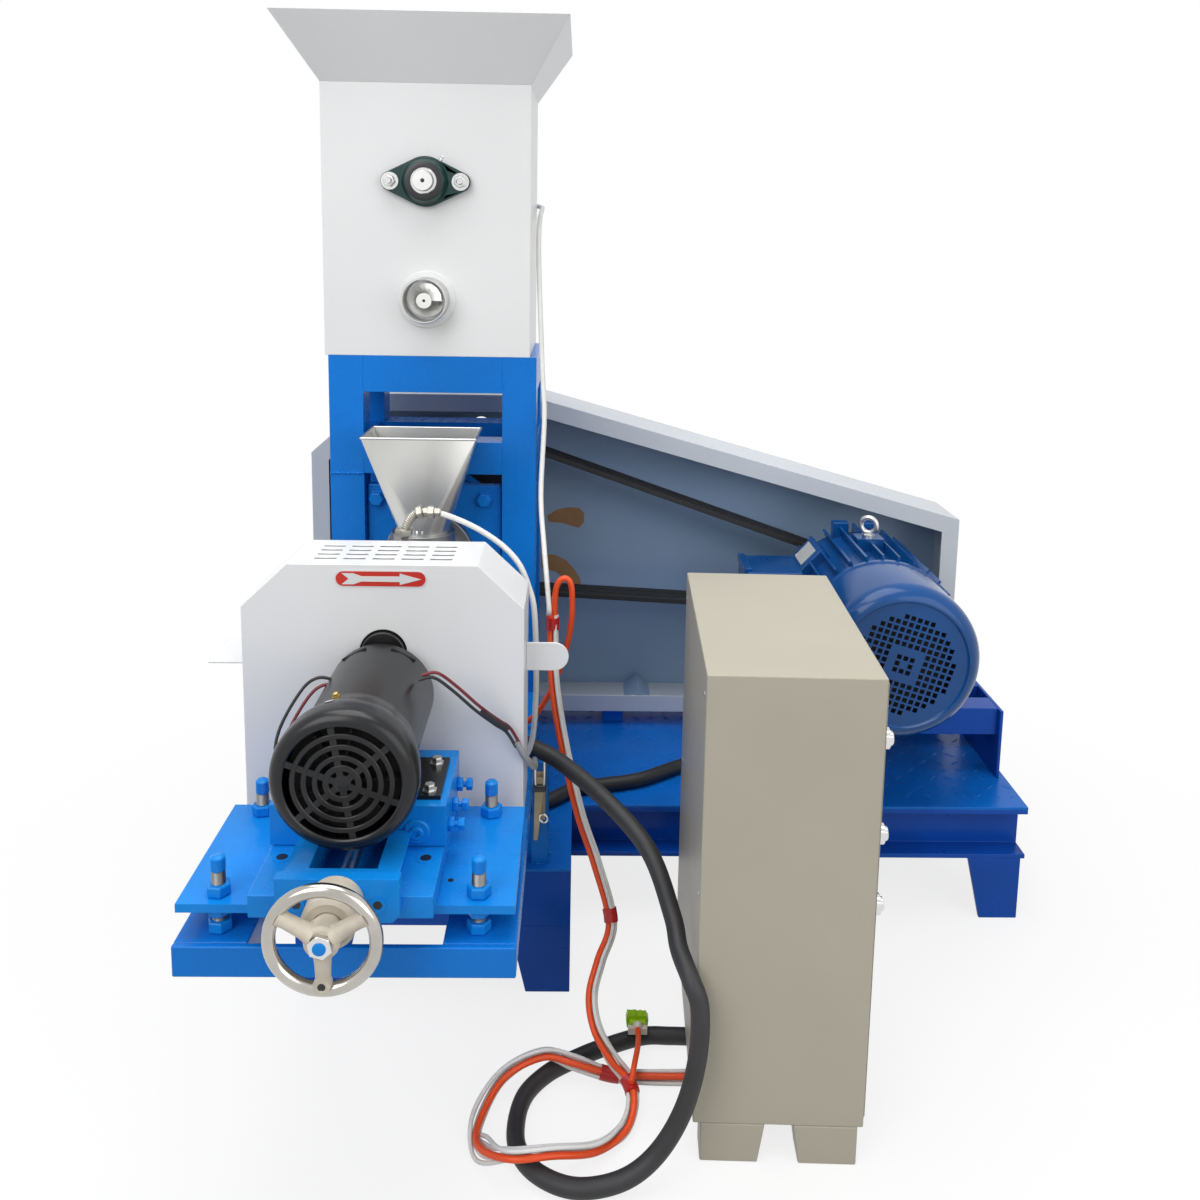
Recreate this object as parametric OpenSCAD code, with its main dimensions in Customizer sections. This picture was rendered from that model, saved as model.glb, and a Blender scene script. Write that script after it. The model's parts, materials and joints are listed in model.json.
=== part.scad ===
// Feed pellet extruder: hopper tower, barrel with cutter slide, belt drive and control cabinet.
// Millimetres. +X right, +Y back, +Z up. The origin is the middle of the footprint, on the floor.

/* [Frame] */
// Height of the feet
foot_height = 112; // [90:2:140]
// Height of the frame channels
channel_height = 90; // [80:2:110]
// Thickness of the deck plates
deck_thickness = 5; // [4:1:8]
// Depth of the main frame from the tower's front to the back
frame_depth = 450; // [440:5:520]
// Right end of the frame, from the spindle axis
frame_right = 1030; // [1026:2:1100]
// How far the left part of the frame reaches forward
frame_nose = 198; // [190:2:240]

/* [Tower and hopper] */
// Height of the tower's top above the spindle
tower_rise = 333; // [320:1:420]
// Depth of the tower and of the hopper
tower_depth = 249; // [236:1:270]
// Height of the hopper's straight walls
hopper_height = 425; // [400:5:500]
// Height of the hopper's flared top
flare_height = 95; // [60:5:130]
// How far the flared top leans out at the sides
flare_out = 60; // [40:2:80]

/* [Barrel] */
// Spindle height above the deck
spindle_rise = 435; // [425:1:460]
// Length of the barrel in front of the tower
barrel_length = 418; // [380:2:460]
// Diameter of the barrel
barrel_diameter = 100; // [90:2:104]
// Height of the feed funnel's cone
funnel_height = 148; // [130:2:152]

/* [Drive] */
// Depth of the belt guard
guard_depth = 142; // [120:2:160]
// Radius of the large pulley
large_radius = 166; // [150:2:180]
// Radius of the small pulley
small_radius = 54; // [46:1:60]
// Diameter of the main motor's fan cover
motor_diameter = 262; // [250:1:266]

/* [Cutter] */
// Diameter of the cutter motor's fan cover
cutter_diameter = 160; // [140:1:160]
// Diameter of the handwheel
wheel_diameter = 120; // [110:1:130]
// Length of the slide bed
bed_length = 235; // [225:1:236]

/* [Cabinet] */
// Width of the cabinet
cabinet_width = 220; // [200:5:250]
// Depth of the cabinet
cabinet_depth = 411; // [390:1:430]
// Height of the cabinet's housing
cabinet_height = 600; // [500:10:700]

/* [Hidden] */
$fn = 48;
eps = 0.01;
fit = 0.05;
sheet = 2;
// Frame levels and edges
zf = foot_height;
zc = foot_height + channel_height;
zd = zc + deck_thickness;
fl = -183;
fm = 242;
fr = frame_right;
fy = -frame_nose;
fb = frame_depth;
cw = 46;
// Tower and hopper
zs = zd + spindle_rise;
zt = zs + tower_rise;
tl = -159;
tr = 175;
leg = 55;
td = tower_depth;
top_rail = 59;
sill = 53;
hw = 164;
zh = zt + hopper_height;
zq = zh + flare_height;
fo = flare_out;
fo_y = fo * 67 / 60;
tray = 40;
screw_z = zt + 91;
stir_z = zt + 275;
screw_bore = 33;
// Barrel, funnel and cover
yd = -barrel_length;
rb = barrel_diameter / 2;
yb = 16;
yin = -59;
inlet = 42;
zn = zs + 70;
zfun = zn + funnel_height;
zr = zs - 268;
rail_h = 36;
cover_y0 = yd - 7;
cover_y1 = yd + 106;
housing_top = zs + 119;
band_gap = 25;
band_w = (barrel_length - 238) / 3;
die_r = 28;
die_out = 12;
cut_y = yd - die_out - 12;
// Belt drive
gy = td + 61;
gb = gy + guard_depth;
pulley_w = 70;
py = gy + 19;
groove_y = [py + 13, py + 35, py + 57];
shaft = 25;
mx = 776;
mz = zd + 284;
my = gy - 385;
rm = motor_diameter / 2;
motor_shaft = 19;
bed_h = 128;
// Cutter slide
zp = zr + 68;
plate_t = 10;
ax_z = zp + 40;
kz = zp + 152;
bed_y = yd - 277;
way_z = zp + 36;
way_h = 21;
lead = 8;
hy = yd - 357;
wr = wheel_diameter / 2;
stud_x = 142;
stud_y = [yd - 232, yd - 61];
// Control cabinet
cab_x = 402;
cab_y = -518;
cab_z = 54;
cab_turn = -2;
ox = (-265 + fr) / 2;
oy = (hy - 16 + max(gb, fb)) / 2;
// Terminal box on the motor's left side
box_z = mz - 17;
// Cable routes
motor_route = [[522, -312, 44], [505, -312, 32], [480, -312, 20], [452, -311, 14], [425, -311, 13],
  [390, -310, 13], [350, -311, 13], [293, -334, 13], [250, -358, 13], [213, -385, 13], [185, -423, 13],
  [175, -470, 13], [180, -516, 13], [208, -554, 13], [255, -574, 13], [310, -572, 22], [352, -562, 48],
  [384, -556, 102], [401, -551, 169], [403, -546, 235], [392, -534, 266], [380, -500, 284], [374, -462, 305],
  [346, -402, 359], [290, -336, 395], [225, -266, 416], [184, -237, 425], [150, -196, 423], [112, -154, 428],
  [90, -128, 420], [76, -106, 390], [72, -85, 320], [84, -58, 250], [120, -36, 221], [165, -28, 220],
  [205, -8, 220], [245, 30, 220], [290, 44, 220], [361, 66, 220], [441, 120, 220], [530, 165, 220],
  [572, 192, 227], [596, 216, 262], [604, 228, 330], [605, 230, 400], [605, 230, box_z - 0.3]];
bundle_route = [[480, -389, 54], [480, -389, 40], [470, -389, 24], [450, -388, 14], [413, -387, 10],
  [350, -387, 10], [300, -387, 14], [250, -382, 28], [206, -380, 38], [152, -408, 27], [123, -471, 12],
  [133, -517, 16], [172, -550, 36], [223, -545, 36], [278, -520, 18], [317, -483, 14], [330, -446, 26],
  [321, -418, 36], [302, -412, 58], [280, -400, 94], [273, -370, 122], [285, -335, 151], [301, -312, 196],
  [278, -280, 269], [253, -250, 329], [228, -215, 419], [212, -190, 506], [209, -168, 572], [209, -165, 590],
  [209, -165, 603]];
orange_route = [[212, -165, 603.3], [212, -165, 624], [214, -165, 645], [220, -165, 657], [228, -165, 660],
  [235, -165, 653], [238, -165, 634], [237, -164, 590], [229, -160, 545], [212, -157, 490], [190, -150, 445],
  [168, -141, 419], [150, -132, 415]];
feeder_route = [[203, -165, 603.3], [203, -165, 620], [193, -110, 697], [186, -60, 766], [189, -20, 882],
  [184, 5, 962], [176, 40, 1128], [175, 90, 1193], [174, 225, 1215], [171, 258, 1220], [150, 276, 1224],
  [110, 284, 1226], [62, 284, 1226]];
heater_route = [[5, -285, zs + rb + 9.3], [5, -285, 740], [8, -285, 768], [20, -286, 787], [37, -288, 793],
  [57, -290, 790], [91, -290, 777], [120, -290, 761], [146, -292, 742], [166, -298, 720], [179, -303, 690],
  [187, -312, 660], [190, -310, 590], [189, -290, 520], [184, -272, 455], [172, -270, 424], [150, -276, 415]];
plug_route = [[327.5, -436.5, 43], [333, -410, 49], [339, -375, 45], [342, -345, 37.5], [342, -336, 36.5],
  [342, -326, 36.5]];

module place() { translate([-ox, -oy, 0]) children(); }
module box(x0, x1, y0, y1, z0, z1) { translate([x0, y0, z0]) cube([x1 - x0, y1 - y0, z1 - z0]); }
module rod(r, y0, y1, x = 0, z = 0) {
  translate([x, y0, z]) rotate([-90, 0, 0]) cylinder(r = r, h = y1 - y0);
}
module yext(y0, y1) { translate([0, y1, 0]) rotate([90, 0, 0]) linear_extrude(y1 - y0) children(); }
module xext(x0, x1) { translate([x0, 0, 0]) rotate([90, 0, 90]) linear_extrude(x1 - x0) children(); }
module spin_y(x, z, y = 0) { translate([x, y, z]) rotate([-90, 0, 0]) children(); }
module both() { for (s = [0, 1]) mirror([s, 0, 0]) children(); }
module csec(w, h, t = 6, f = 8) {
  polygon([[0, 0], [w, 0], [w, f], [t, f], [t, h - f], [w, h - f], [w, h], [0, h]]);
}

// Round cable swept along a list of points
function unit(v) = v / norm(v);
function heading(p, i) = unit(p[min(i + 1, len(p) - 1)] - p[max(i - 1, 0)]);
function aside(p, i) = i == 0 ? unit(cross(heading(p, 0), [0.3, 0.9, 0.2]))
  : let (u = aside(p, i - 1), t = heading(p, i)) unit(u - (u * t) * t);
module cable(p, r, n = 8) {
  m = len(p);
  rings = [for (i = [0:m - 1]) let (u = aside(p, i), v = cross(heading(p, i), u))
    for (k = [0:n - 1]) p[i] + r * (cos(360 * k / n) * u + sin(360 * k / n) * v)];
  walls = [for (i = [0:m - 2], k = [0:n - 1]) let (a = i * n + k, b = i * n + (k + 1) % n)
    each [[a, b + n, b], [a, a + n, b + n]]];
  polyhedron(points = rings, convexity = 8,
    faces = concat([[for (k = [0:n - 1]) k]], walls, [[for (k = [n - 1:-1:0]) (m - 1) * n + k]]));
}

// Frame members that run from front to back
module frame_rails() color("#0b3c98") place() {
  yext(fy + cw, fb - cw) translate([fl + cw, zf]) mirror([1, 0]) csec(cw, channel_height);
  yext(fy + cw, fb - cw) translate([fm, zf]) mirror([1, 0]) csec(cw, channel_height);
  yext(cw, fb - cw) translate([600, zf]) csec(cw, channel_height);
  yext(cw, fb - cw) translate([fr - cw, zf]) csec(cw, channel_height);
}

// Frame members that run from side to side
module frame_ties() color("#0b3c98") place() {
  xext(fm, fr) translate([cw, zf]) mirror([1, 0]) csec(cw, channel_height);
  xext(fl, fr) translate([fb - cw, zf]) csec(cw, channel_height);
  xext(fl, fm) translate([fy, zf]) csec(cw, channel_height);
}

// Angle foot with a slanted inner edge
module foot(w) {
  taper = 26;
  rotate([90, 0, 0]) translate([0, 0, -8]) linear_extrude(8)
    polygon([[8, 0], [w - taper, 0], [w, zf], [8, zf]]);
  rotate([90, 0, 90]) linear_extrude(8) polygon([[0, 0], [w - taper, 0], [w, zf], [0, zf]]);
}

module frame_feet() color("#0b3c98") place() {
  translate([fm, fy, 0]) mirror([1, 0, 0]) foot(95);
  translate([fl, fy, 0]) foot(95);
  translate([fr - 7, 0, 0]) mirror([1, 0, 0]) foot(92);
  translate([fr - 7, fb, 0]) mirror([1, 0, 0]) mirror([0, 1, 0]) foot(92);
  translate([fl, fb, 0]) mirror([0, 1, 0]) foot(92);
}

// Deck with a part that reaches forward under the barrel
module deck_plate() color("#1458b8") place() translate([0, 0, zc]) linear_extrude(deck_thickness)
  polygon([[fl, fy], [fm, fy], [fm, 0], [fr, 0], [fr, fb], [fl, fb]]);

// Square tower legs
module tower_legs() color("#0f5fc0") place()
  for (x = [tl, tr - leg], y = [0, td - leg]) box(x, x + leg, y, y + leg, zd, zt);

// Rails between the tower legs
module tower_rails() color("#0f5fc0") place() {
  z1 = zt - top_rail;
  z2 = housing_top + 21;
  for (y = [0, td - leg]) {
    box(tl + leg, tr - leg, y, y + leg, z1, zt);
    box(tl + leg, tr - leg, y, y + leg, z2, z2 + sill);
  }
  for (x = [tl, tr - leg + 6]) {
    box(x, x + leg - 6, leg, td - leg, z1, zt);
    box(x, x + leg - 6, leg, td - leg, z2, z2 + sill);
  }
}

// Straight hopper of two side sheets, two end sheets with bores, and a raised floor
module hopper_sides() color("#e6e8ea") place() both() box(hw - sheet, hw, sheet, td - sheet, zt, zh);
module hopper_ends() color("#e6e8ea") place() difference() {
  for (y = [0, td - sheet]) box(-hw, hw, y, y + sheet, zt, zh);
  rod(screw_bore, -1, td + 1, 0, screw_z);
  rod(22, -1, td + 1, 0, stir_z);
}
module hopper_floor() color("#e6e8ea") place()
  box(-hw + sheet, hw - sheet, sheet, td - sheet, zt + tray, zt + tray + 3);

module hopper_flare() color("#e6e8ea") place() difference() {
  hull() {
    box(-hw, hw, 0, td, zh, zh + eps);
    box(-hw - fo, hw + fo, -fo_y, td + fo_y, zq - eps, zq);
  }
  hull() {
    box(-hw + sheet, hw - sheet, sheet, td - sheet, zh - 1, zh);
    box(-hw - fo + sheet, hw + fo - sheet, -fo_y + sheet, td + fo_y - sheet, zq, zq + 1);
  }
}

// Two-bolt bearing on the hopper's front
module flange_bearing() color("#0d3a2c") place() difference() {
  union() {
    yext(-13, 0) hull() {
      translate([0, stir_z]) circle(r = 39);
      for (s = [-1, 1]) translate([s * 55, stir_z]) circle(r = 15);
    }
    spin_y(0, stir_z, -30) cylinder(r1 = 30, r2 = 36, h = 17);
  }
  rod(15 + fit, -40, 1, 0, stir_z);
  for (s = [-1, 1]) rod(6.5, -14, 1, s * 55, stir_z);
}

module agitator() color("#a9adb2") place() {
  rod(15, -44, td + 8, 0, stir_z);
  for (i = [0:3]) translate([0, 45 + i * (td - 90) / 3, stir_z]) rotate([0, i * 45, 0])
    translate([0, 0, -105]) cylinder(r = 7, h = 210);
}

// Feed tube under the bearing
module feed_tube() color("#c9cccf") place() difference() {
  union() {
    rod(36, -40, 0, 0, screw_z);
    rod(46, -5, 0, 0, screw_z);
  }
  rod(screw_bore, -41, 1, 0, screw_z);
}

// Screw that pushes the feed out of the tube
flight_turns = 6;
flight_n = 16;
flight_start = -36;
flight_pitch = (td - 6 - flight_start) / flight_turns;
function flight_pt(i, r, d) = let (a = 360 * i / flight_n)
  [r * cos(a), flight_start + flight_pitch * i / flight_n + d, r * sin(a)];
module flight() {
  n = flight_turns * flight_n;
  pts = [for (i = [0:n]) each [flight_pt(i, 11, -2), flight_pt(i, 28, -1.5),
    flight_pt(i, 28, 1.5), flight_pt(i, 11, 2)]];
  walls = [for (i = [0:n - 1], j = [0:3]) let (a = 4 * i + j, b = 4 * i + (j + 1) % 4)
    each [[a, a + 4, b + 4], [a, b + 4, b]]];
  polyhedron(points = pts, convexity = 6, faces = concat([[0, 1, 2], [0, 2, 3]], walls,
    [[4 * n + 2, 4 * n + 1, 4 * n], [4 * n + 3, 4 * n + 2, 4 * n]]));
}
module feed_screw() color("#b9bcc0") place() union() {
  rod(12, -38, td + 8, 0, screw_z);
  translate([0, 0, screw_z]) flight();
}

// Chain box and motor behind the hopper
module feeder_box() color("#0f5fc0") place() difference() {
  box(-62, 62, td, td + 62, screw_z - 55, stir_z + 50);
  rod(15 + fit, td - 1, td + 14, 0, stir_z);
  rod(12 + fit, td - 1, td + 14, 0, screw_z);
}
module feeder_motor() color("#0f5fc0") place() rod(58, td + 62, td + 196, 0, screw_z + 60);

// Oblong to round funnel over the barrel's inlet
module funnel_loft(t, dz) {
  hull() {
    box(-87 + t, 87 - t, yin - 51 + t, yin + 51 - t, zfun - 1 + dz, zfun + dz);
    translate([0, yin, zn - dz]) cylinder(r = inlet - t, h = 1, $fn = 32);
  }
}
module feed_funnel() color("#c4c8cb") place() difference() {
  union() {
    funnel_loft(0, 0);
    translate([0, yin, zs + rb + 12]) cylinder(r = inlet, h = zn - zs - rb - 11);
  }
  funnel_loft(sheet, 1);
  translate([0, yin, zs]) cylinder(r = inlet - sheet, h = zn - zs);
}

module bearing_housing() color("#0b3c98") place() difference() {
  union() {
    box(-102, 118, yb, yb + 16, zd, housing_top);
    rod(88, yb + 16, td + 30, 0, zs);
    box(-76, 76, yb + 16, td + 10, zd, zs - 60);
  }
  rod(shaft + fit, td, td + 31, 0, zs);
}

module barrel() color("#8f9498") place() difference() {
  union() {
    rod(rb, yd, yb, 0, zs);
    rod(74, -4, yb, 0, zs);
    translate([0, yin, zs]) cylinder(r = inlet + 8, h = rb + 12);
  }
  translate([0, yin, zs]) cylinder(r = inlet - 6, h = rb + 20);
}

module heater_bands() color("#b5b8ba") place()
  for (i = [0:2]) let (y = yd + 18 + i * (band_w + band_gap)) difference() {
    rod(rb + 9, y, y + band_w, 0, zs);
    rod(rb, y - 1, y + band_w + 1, 0, zs);
  }

module die_head() color("#17181a") place() {
  rod(52, yd - 4, yd, 0, zs);
  rod(die_r, yd - die_out, yd, 0, zs);
}

// Sheet hood over the barrel's hot end
module cover_profile(i) {
  z0 = zr + rail_h - (i > 0 ? 1 : 0);
  polygon([[-179 + i, z0], [179 - i, z0], [179 - i, zr + 327], [120 - i * 0.4, zr + 383 - i],
    [-120 + i * 0.4, zr + 383 - i], [-179 + i, zr + 327]]);
}
module barrel_cover() color("#e9ebee") place() difference() {
  yext(cover_y0, cover_y1) cover_profile(0);
  yext(cover_y0 + sheet, cover_y1 - sheet) cover_profile(sheet);
  rod(die_r + 2, cover_y0 - 1, cover_y0 + 3, 0, zs);
  rod(72, cover_y1 - 3, cover_y1 + 1, 0, zs);
}

// Lifting ear on the right and lifting tab on the left
module cover_handles() color("#eceef0") place() {
  yext(cover_y0 + 53, cover_y0 + 56) union() {
    translate([179, zs - 44]) square([37, 39]);
    translate([216, zs - 24.5]) circle(r = 19.5);
  }
  box(-233, -179, cover_y0 + 30, cover_y1 + 2, zs - 29, zs - 26);
}

// Side channels and front plate that carry the cutter
module support_rails() color("#0f5fc0") place() {
  both() yext(yd - 257, 0) polygon([[105, zr], [111, zr], [111, zr + 30], [179, zr + 30], [179, zr],
    [185, zr], [185, zr + rail_h], [105, zr + rail_h]]);
}
module support_front() color("#0f5fc0") place() box(-185, 185, yd - 265, yd - 257, zr, zr + rail_h);
module support_posts() color("#0f5fc0") place()
  for (x = [fl, 180]) box(x, x + 26, -182, -156, zd, zr);

// Toggle latch on the right post
module toggle_latch() color("#cfc19a") place() {
  box(184, 202, -186, -182, zr - 92, zr - 14);
  translate([193, -194, zr - 24]) rotate([0, 8, 0]) box(-8, 8, 0, 8, -62, 10);
}

// Plate on four levelling studs
module levelling_plate() color("#2a74cf") place() difference() {
  box(-183, 183, yd - 253, yd - 41, zp, zp + plate_t);
  for (x = [-stud_x, stud_x], y = stud_y) translate([x, y, zp - 1]) cylinder(r = 8.5, h = plate_t + 2);
}

module levelling_studs() color("#b4b7b9") place()
  for (x = [-stud_x, stud_x], y = stud_y) translate([x, y, 0]) {
    translate([0, 0, zr + rail_h]) cylinder(r = 8, h = 87);
    for (z = [zr + rail_h, zp - 13, zp + plate_t]) translate([0, 0, z]) cylinder(r = 13.8, h = 13, $fn = 6);
  }

// Dovetail bed with a slot for the lead screw
module dovetail(c) {
  polygon([[-52 - c, way_z - eps], [52 + c, way_z - eps], [62 + c, way_z + way_h + c],
    [-62 - c, way_z + way_h + c]]);
}
module slide_bed() color("#1c68cc") place() {
  y1 = bed_y + bed_length;
  difference() {
    union() {
      box(-98, 98, bed_y, y1, zp + plate_t, way_z);
      yext(bed_y, y1) dovetail(0);
    }
    box(-36, 36, bed_y + 18, y1 - 20, zp + 18, way_z + way_h + 1);
    rod(13, bed_y - 1, bed_y + 19, 0, ax_z);
  }
}

module screw_end_plate() color("#1c68cc") place() difference() {
  union() {
    yext(bed_y - 15, bed_y) polygon([[-65, zp + 64], [-65, zp + 23], [-57, zp + 15], [57, zp + 15],
      [65, zp + 23], [65, zp + 64]]);
    rod(27, bed_y - 43, bed_y - 15, 0, ax_z);
  }
  rod(lead + fit, bed_y - 44, bed_y + 1, 0, ax_z);
}

module lead_screw() color("#a7abae") place() rod(lead, hy + 33, bed_y + bed_length - 22, 0, ax_z);

// Three-spoke handwheel
module handwheel() color("#d8d4c4") place() spin_y(0, ax_z, hy) {
  rotate_extrude($fn = 64) translate([wr - 7, 0]) circle(r = 7, $fn = 24);
  for (a = [90, 210, 330]) rotate([0, 0, a]) translate([10, -8, -5]) cube([wr - 15, 16, 10]);
  translate([0, 0, -16]) cylinder(r = 18, h = 32);
  translate([0, 0, 16]) cylinder(r = 15, h = 17);
}

// Saddle that rides on the bed, with its nut
module carriage_saddle() color("#1c68cc") place() {
  difference() {
    box(-100, 100, yd - 181, yd - 42, way_z + 1, zp + 86);
    yext(yd - 182, yd - 41) dovetail(0.5);
  }
  difference() {
    box(-13, 13, yd - 122, yd - 92, zp + 24, way_z + way_h + 1);
    rod(lead + fit, yd - 123, yd - 91, 0, ax_z);
  }
}

// Cutter motor with its two foot angles
module cutter_motor_body() color("#17181a") place() {
  rod(66, yd - 205, cut_y, 0, kz);
  both() {
    box(42, 92, yd - 167, yd - 72, zp + 86, zp + 91);
    box(42, 50, yd - 167, yd - 72, zp + 86, kz - 30);
  }
}

module cutter_fan_cover() color("#17181a") place() {
  r = cutter_diameter / 2;
  spin_y(0, kz, yd - 260) rotate_extrude($fn = 64)
    polygon([[0, 0], [r - 12, 0], [r - 4, 3], [r, 10], [r, 55], [0, 55]]);
}

module cutter_knife() color("#b9bcc0") place() spin_y(0, kz, cut_y) {
  cylinder(r = 15, h = 7);
  for (a = [30, 150, 270]) rotate([0, 0, a]) translate([12, -9, 3.5]) cube([50, 18, 3]);
}

// Bed that carries the main motor
module motor_bed_sides() color("#0b3c98") place()
  for (x = [640, 1012]) box(x, x + 6, 106, gy - 10, zd, zd + bed_h);
module motor_bed_ties() color("#0b3c98") place()
  for (y = [118, 222]) box(646, 1012, y, y + 50, zd + bed_h - 50, zd + bed_h);

// Main motor with cooling fins, a boss for the lifting eye and cast feet
motor_end = gy - 10;
fin_r = rm + 9;
module main_motor_body() color("#14508f") place() difference() {
  union() {
    rod(rm - 9, my + 155, motor_end, mx, mz);
    rod(rm - 22, motor_end, gy + 12, mx, mz);
    for (a = [-132:12:132]) translate([mx, 0, mz]) rotate([0, a, 0])
      box(-2.2, 2.2, my + 156, motor_end - 3, rm - 14, fin_r);
    box(mx - 24, mx + 24, my + 238, my + 278, mz + rm - 18, mz + rm + 14);
    for (s = [-1, 1]) {
      box(mx + s * 104 - 30, mx + s * 104 + 30, my + 186, my + 342, zd + bed_h, zd + bed_h + 18);
      box(mx + s * 88 - 12, mx + s * 88 + 12, my + 186, my + 332, zd + bed_h, mz - 60);
    }
  }
  rod(motor_shaft + fit, motor_end - 15, gy + 13, mx, mz);
}

module main_motor_fan_cover() color("#14508f") place() spin_y(mx, mz, my) rotate_extrude($fn = 72)
  polygon([[0, 3], [rm - 22, 3], [rm - 20, 0], [rm - 8, 8], [rm, 26], [rm, 155], [0, 155]]);

module main_motor_terminal_box() color("#14508f") place() difference() {
  box(mx - 220, mx - 100, my + 247, my + 363, box_z, box_z + 94);
  rod(fin_r + 0.3, my + 160, motor_end + 1, mx, mz);
}

// Sheet guard around the belts, on small angles
gz = zd + 31;
module guard_shape(d) {
  left = d * 1.34;
  right = d * 1.0374;
  slope = 232 / 840;
  rise = 115 / 129;
  polygon([[-265 + d, gz + d], [-265 + d, zs + 112 + rise * d - left],
    [-136 + (left - d) / rise, zs + 227 - d], [147 - (right - d) / slope, zs + 227 - d],
    [987 - d, zs - 5 + slope * d - right], [987 - d, gz + d]]);
}
module guard_rim() color("#c3cad2") place() yext(gy + 3, gb - 3) difference() {
  guard_shape(0);
  guard_shape(3);
}
module guard_lip() color("#c3cad2") place() yext(gy, gy + 3) difference() {
  guard_shape(0);
  guard_shape(33);
}
module guard_feet() color("#c3cad2") place()
  for (x = [-170, 300, 640, 940]) box(x, x + 40, gy + 20, gb - 20, zd, gz);

// Slots around the spindle let air through the back plate
module guard_back_plate() color("#c3cad2") place() difference() {
  yext(gb - 3, gb) guard_shape(0);
  for (a = [0:40:320]) spin_y(0, zs, gb - 4) rotate([0, 0, a + 8]) translate([150, 0, 0]) {
    cylinder(r = 20, h = 5);
    translate([-60, -10, 0]) cube([60, 20, 5]);
  }
}

// Belts as fixed loops in the pulleys' grooves
pulley_d = sqrt(mx * mx + (mz - zs) * (mz - zs));
pulley_a = atan2(mz - zs, mx);
function arc_pts(x, z, r, a0, a1, n) =
  [for (i = [0:n]) let (a = a0 + (a1 - a0) * i / n) [x + r * cos(a), z + r * sin(a)]];
module loop2d(r1, r2) {
  b = acos((r1 - r2) / pulley_d);
  polygon(concat(arc_pts(0, zs, r1, pulley_a + b, pulley_a + 360 - b, 40),
    arc_pts(mx, mz, r2, pulley_a - b, pulley_a + b, 20)));
}
module drive_belts() color("#141414") place() for (y = groove_y) yext(y - 8, y + 8) difference() {
  loop2d(large_radius + 1, small_radius + 1);
  loop2d(large_radius - 9, small_radius - 9);
}

module pulley(r) difference() {
  cylinder(r = r, h = pulley_w);
  for (y = groove_y) translate([0, 0, y - py - 10]) difference() {
    cylinder(r = r + 1, h = 20);
    translate([0, 0, -1]) cylinder(r = r - 14, h = 22);
  }
}

module large_pulley() color("#3a3d40") place() {
  spin_y(0, zs, py) difference() {
    pulley(large_radius);
    for (h = [-1, 50]) translate([0, 0, h]) difference() {
      cylinder(r = large_radius - 26, h = 21);
      translate([0, 0, -1]) cylinder(r = 48, h = 23);
    }
  }
  rod(shaft, td + 5, py, 0, zs);
}

module small_pulley() color("#3a3d40") place() {
  spin_y(mx, mz, py) pulley(small_radius);
  rod(motor_shaft, motor_end - 10, py, mx, mz);
}

// Free-standing control cabinet
module at_cabinet() { translate([cab_x, cab_y, 0]) rotate([0, 0, cab_turn]) children(); }

module cabinet_body() color("#b3ad97") place() at_cabinet()
  box(0, cabinet_width - 3, 0, cabinet_depth, cab_z, cab_z + cabinet_height);

module cabinet_door() color("#b3ad97") place() at_cabinet()
  box(cabinet_width - 3, cabinet_width, 8, cabinet_depth - 8, cab_z + 8, cab_z + cabinet_height - 8);

module cabinet_feet() color("#b3ad97") place() at_cabinet()
  for (y = [0, cabinet_depth - 40], s = [0, 1]) translate([s * cabinet_width, 0, 0]) mirror([s, 0, 0])
    yext(y, y + 40) polygon([[10, cab_z], [92, cab_z], [84, 0], [10, 0]]);

module cabinet_buttons() color("#c8ccd0") place() at_cabinet()
  for (h = [0.85, 0.64, 0.48]) translate([cabinet_width, 34, cab_z + h * cabinet_height]) rotate([0, 90, 0])
    cylinder(r = 13, h = 14);

// Cables between the cabinet and the machine
module motor_cable() color("#1b1b1c") place() cable(motor_route, 12);
module control_bundle() color("#e8e4dc") place() cable(bundle_route, 9);
module orange_lead() color("#f4511e") place() cable(orange_route, 4.5);
module feeder_cable() color("#eeeeec") place() cable(feeder_route, 4);
module heater_cable() color("#eeeeec") place() cable(heater_route, 4);
module plug_lead() color("#f4511e") place() cable(plug_route, 4);
module cable_plug() color("#9bd21a") place() box(325, 359, -326, -298, 26, 47);

frame_rails();
frame_ties();
frame_feet();
deck_plate();
tower_legs();
tower_rails();
hopper_sides();
hopper_ends();
hopper_floor();
hopper_flare();
flange_bearing();
agitator();
feed_tube();
feed_screw();
feeder_box();
feeder_motor();
feed_funnel();
bearing_housing();
barrel();
heater_bands();
die_head();
barrel_cover();
cover_handles();
support_rails();
support_front();
support_posts();
toggle_latch();
levelling_plate();
levelling_studs();
slide_bed();
screw_end_plate();
lead_screw();
handwheel();
carriage_saddle();
cutter_motor_body();
cutter_fan_cover();
cutter_knife();
motor_bed_sides();
motor_bed_ties();
main_motor_body();
main_motor_fan_cover();
main_motor_terminal_box();
guard_rim();
guard_lip();
guard_feet();
guard_back_plate();
drive_belts();
large_pulley();
small_pulley();
cabinet_body();
cabinet_door();
cabinet_feet();
cabinet_buttons();
motor_cable();
control_bundle();
orange_lead();
feeder_cable();
heater_cable();
plug_lead();
cable_plug();
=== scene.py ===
import json

import bmesh
import bpy
import numpy as np
from mathutils import Matrix, Vector

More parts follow.
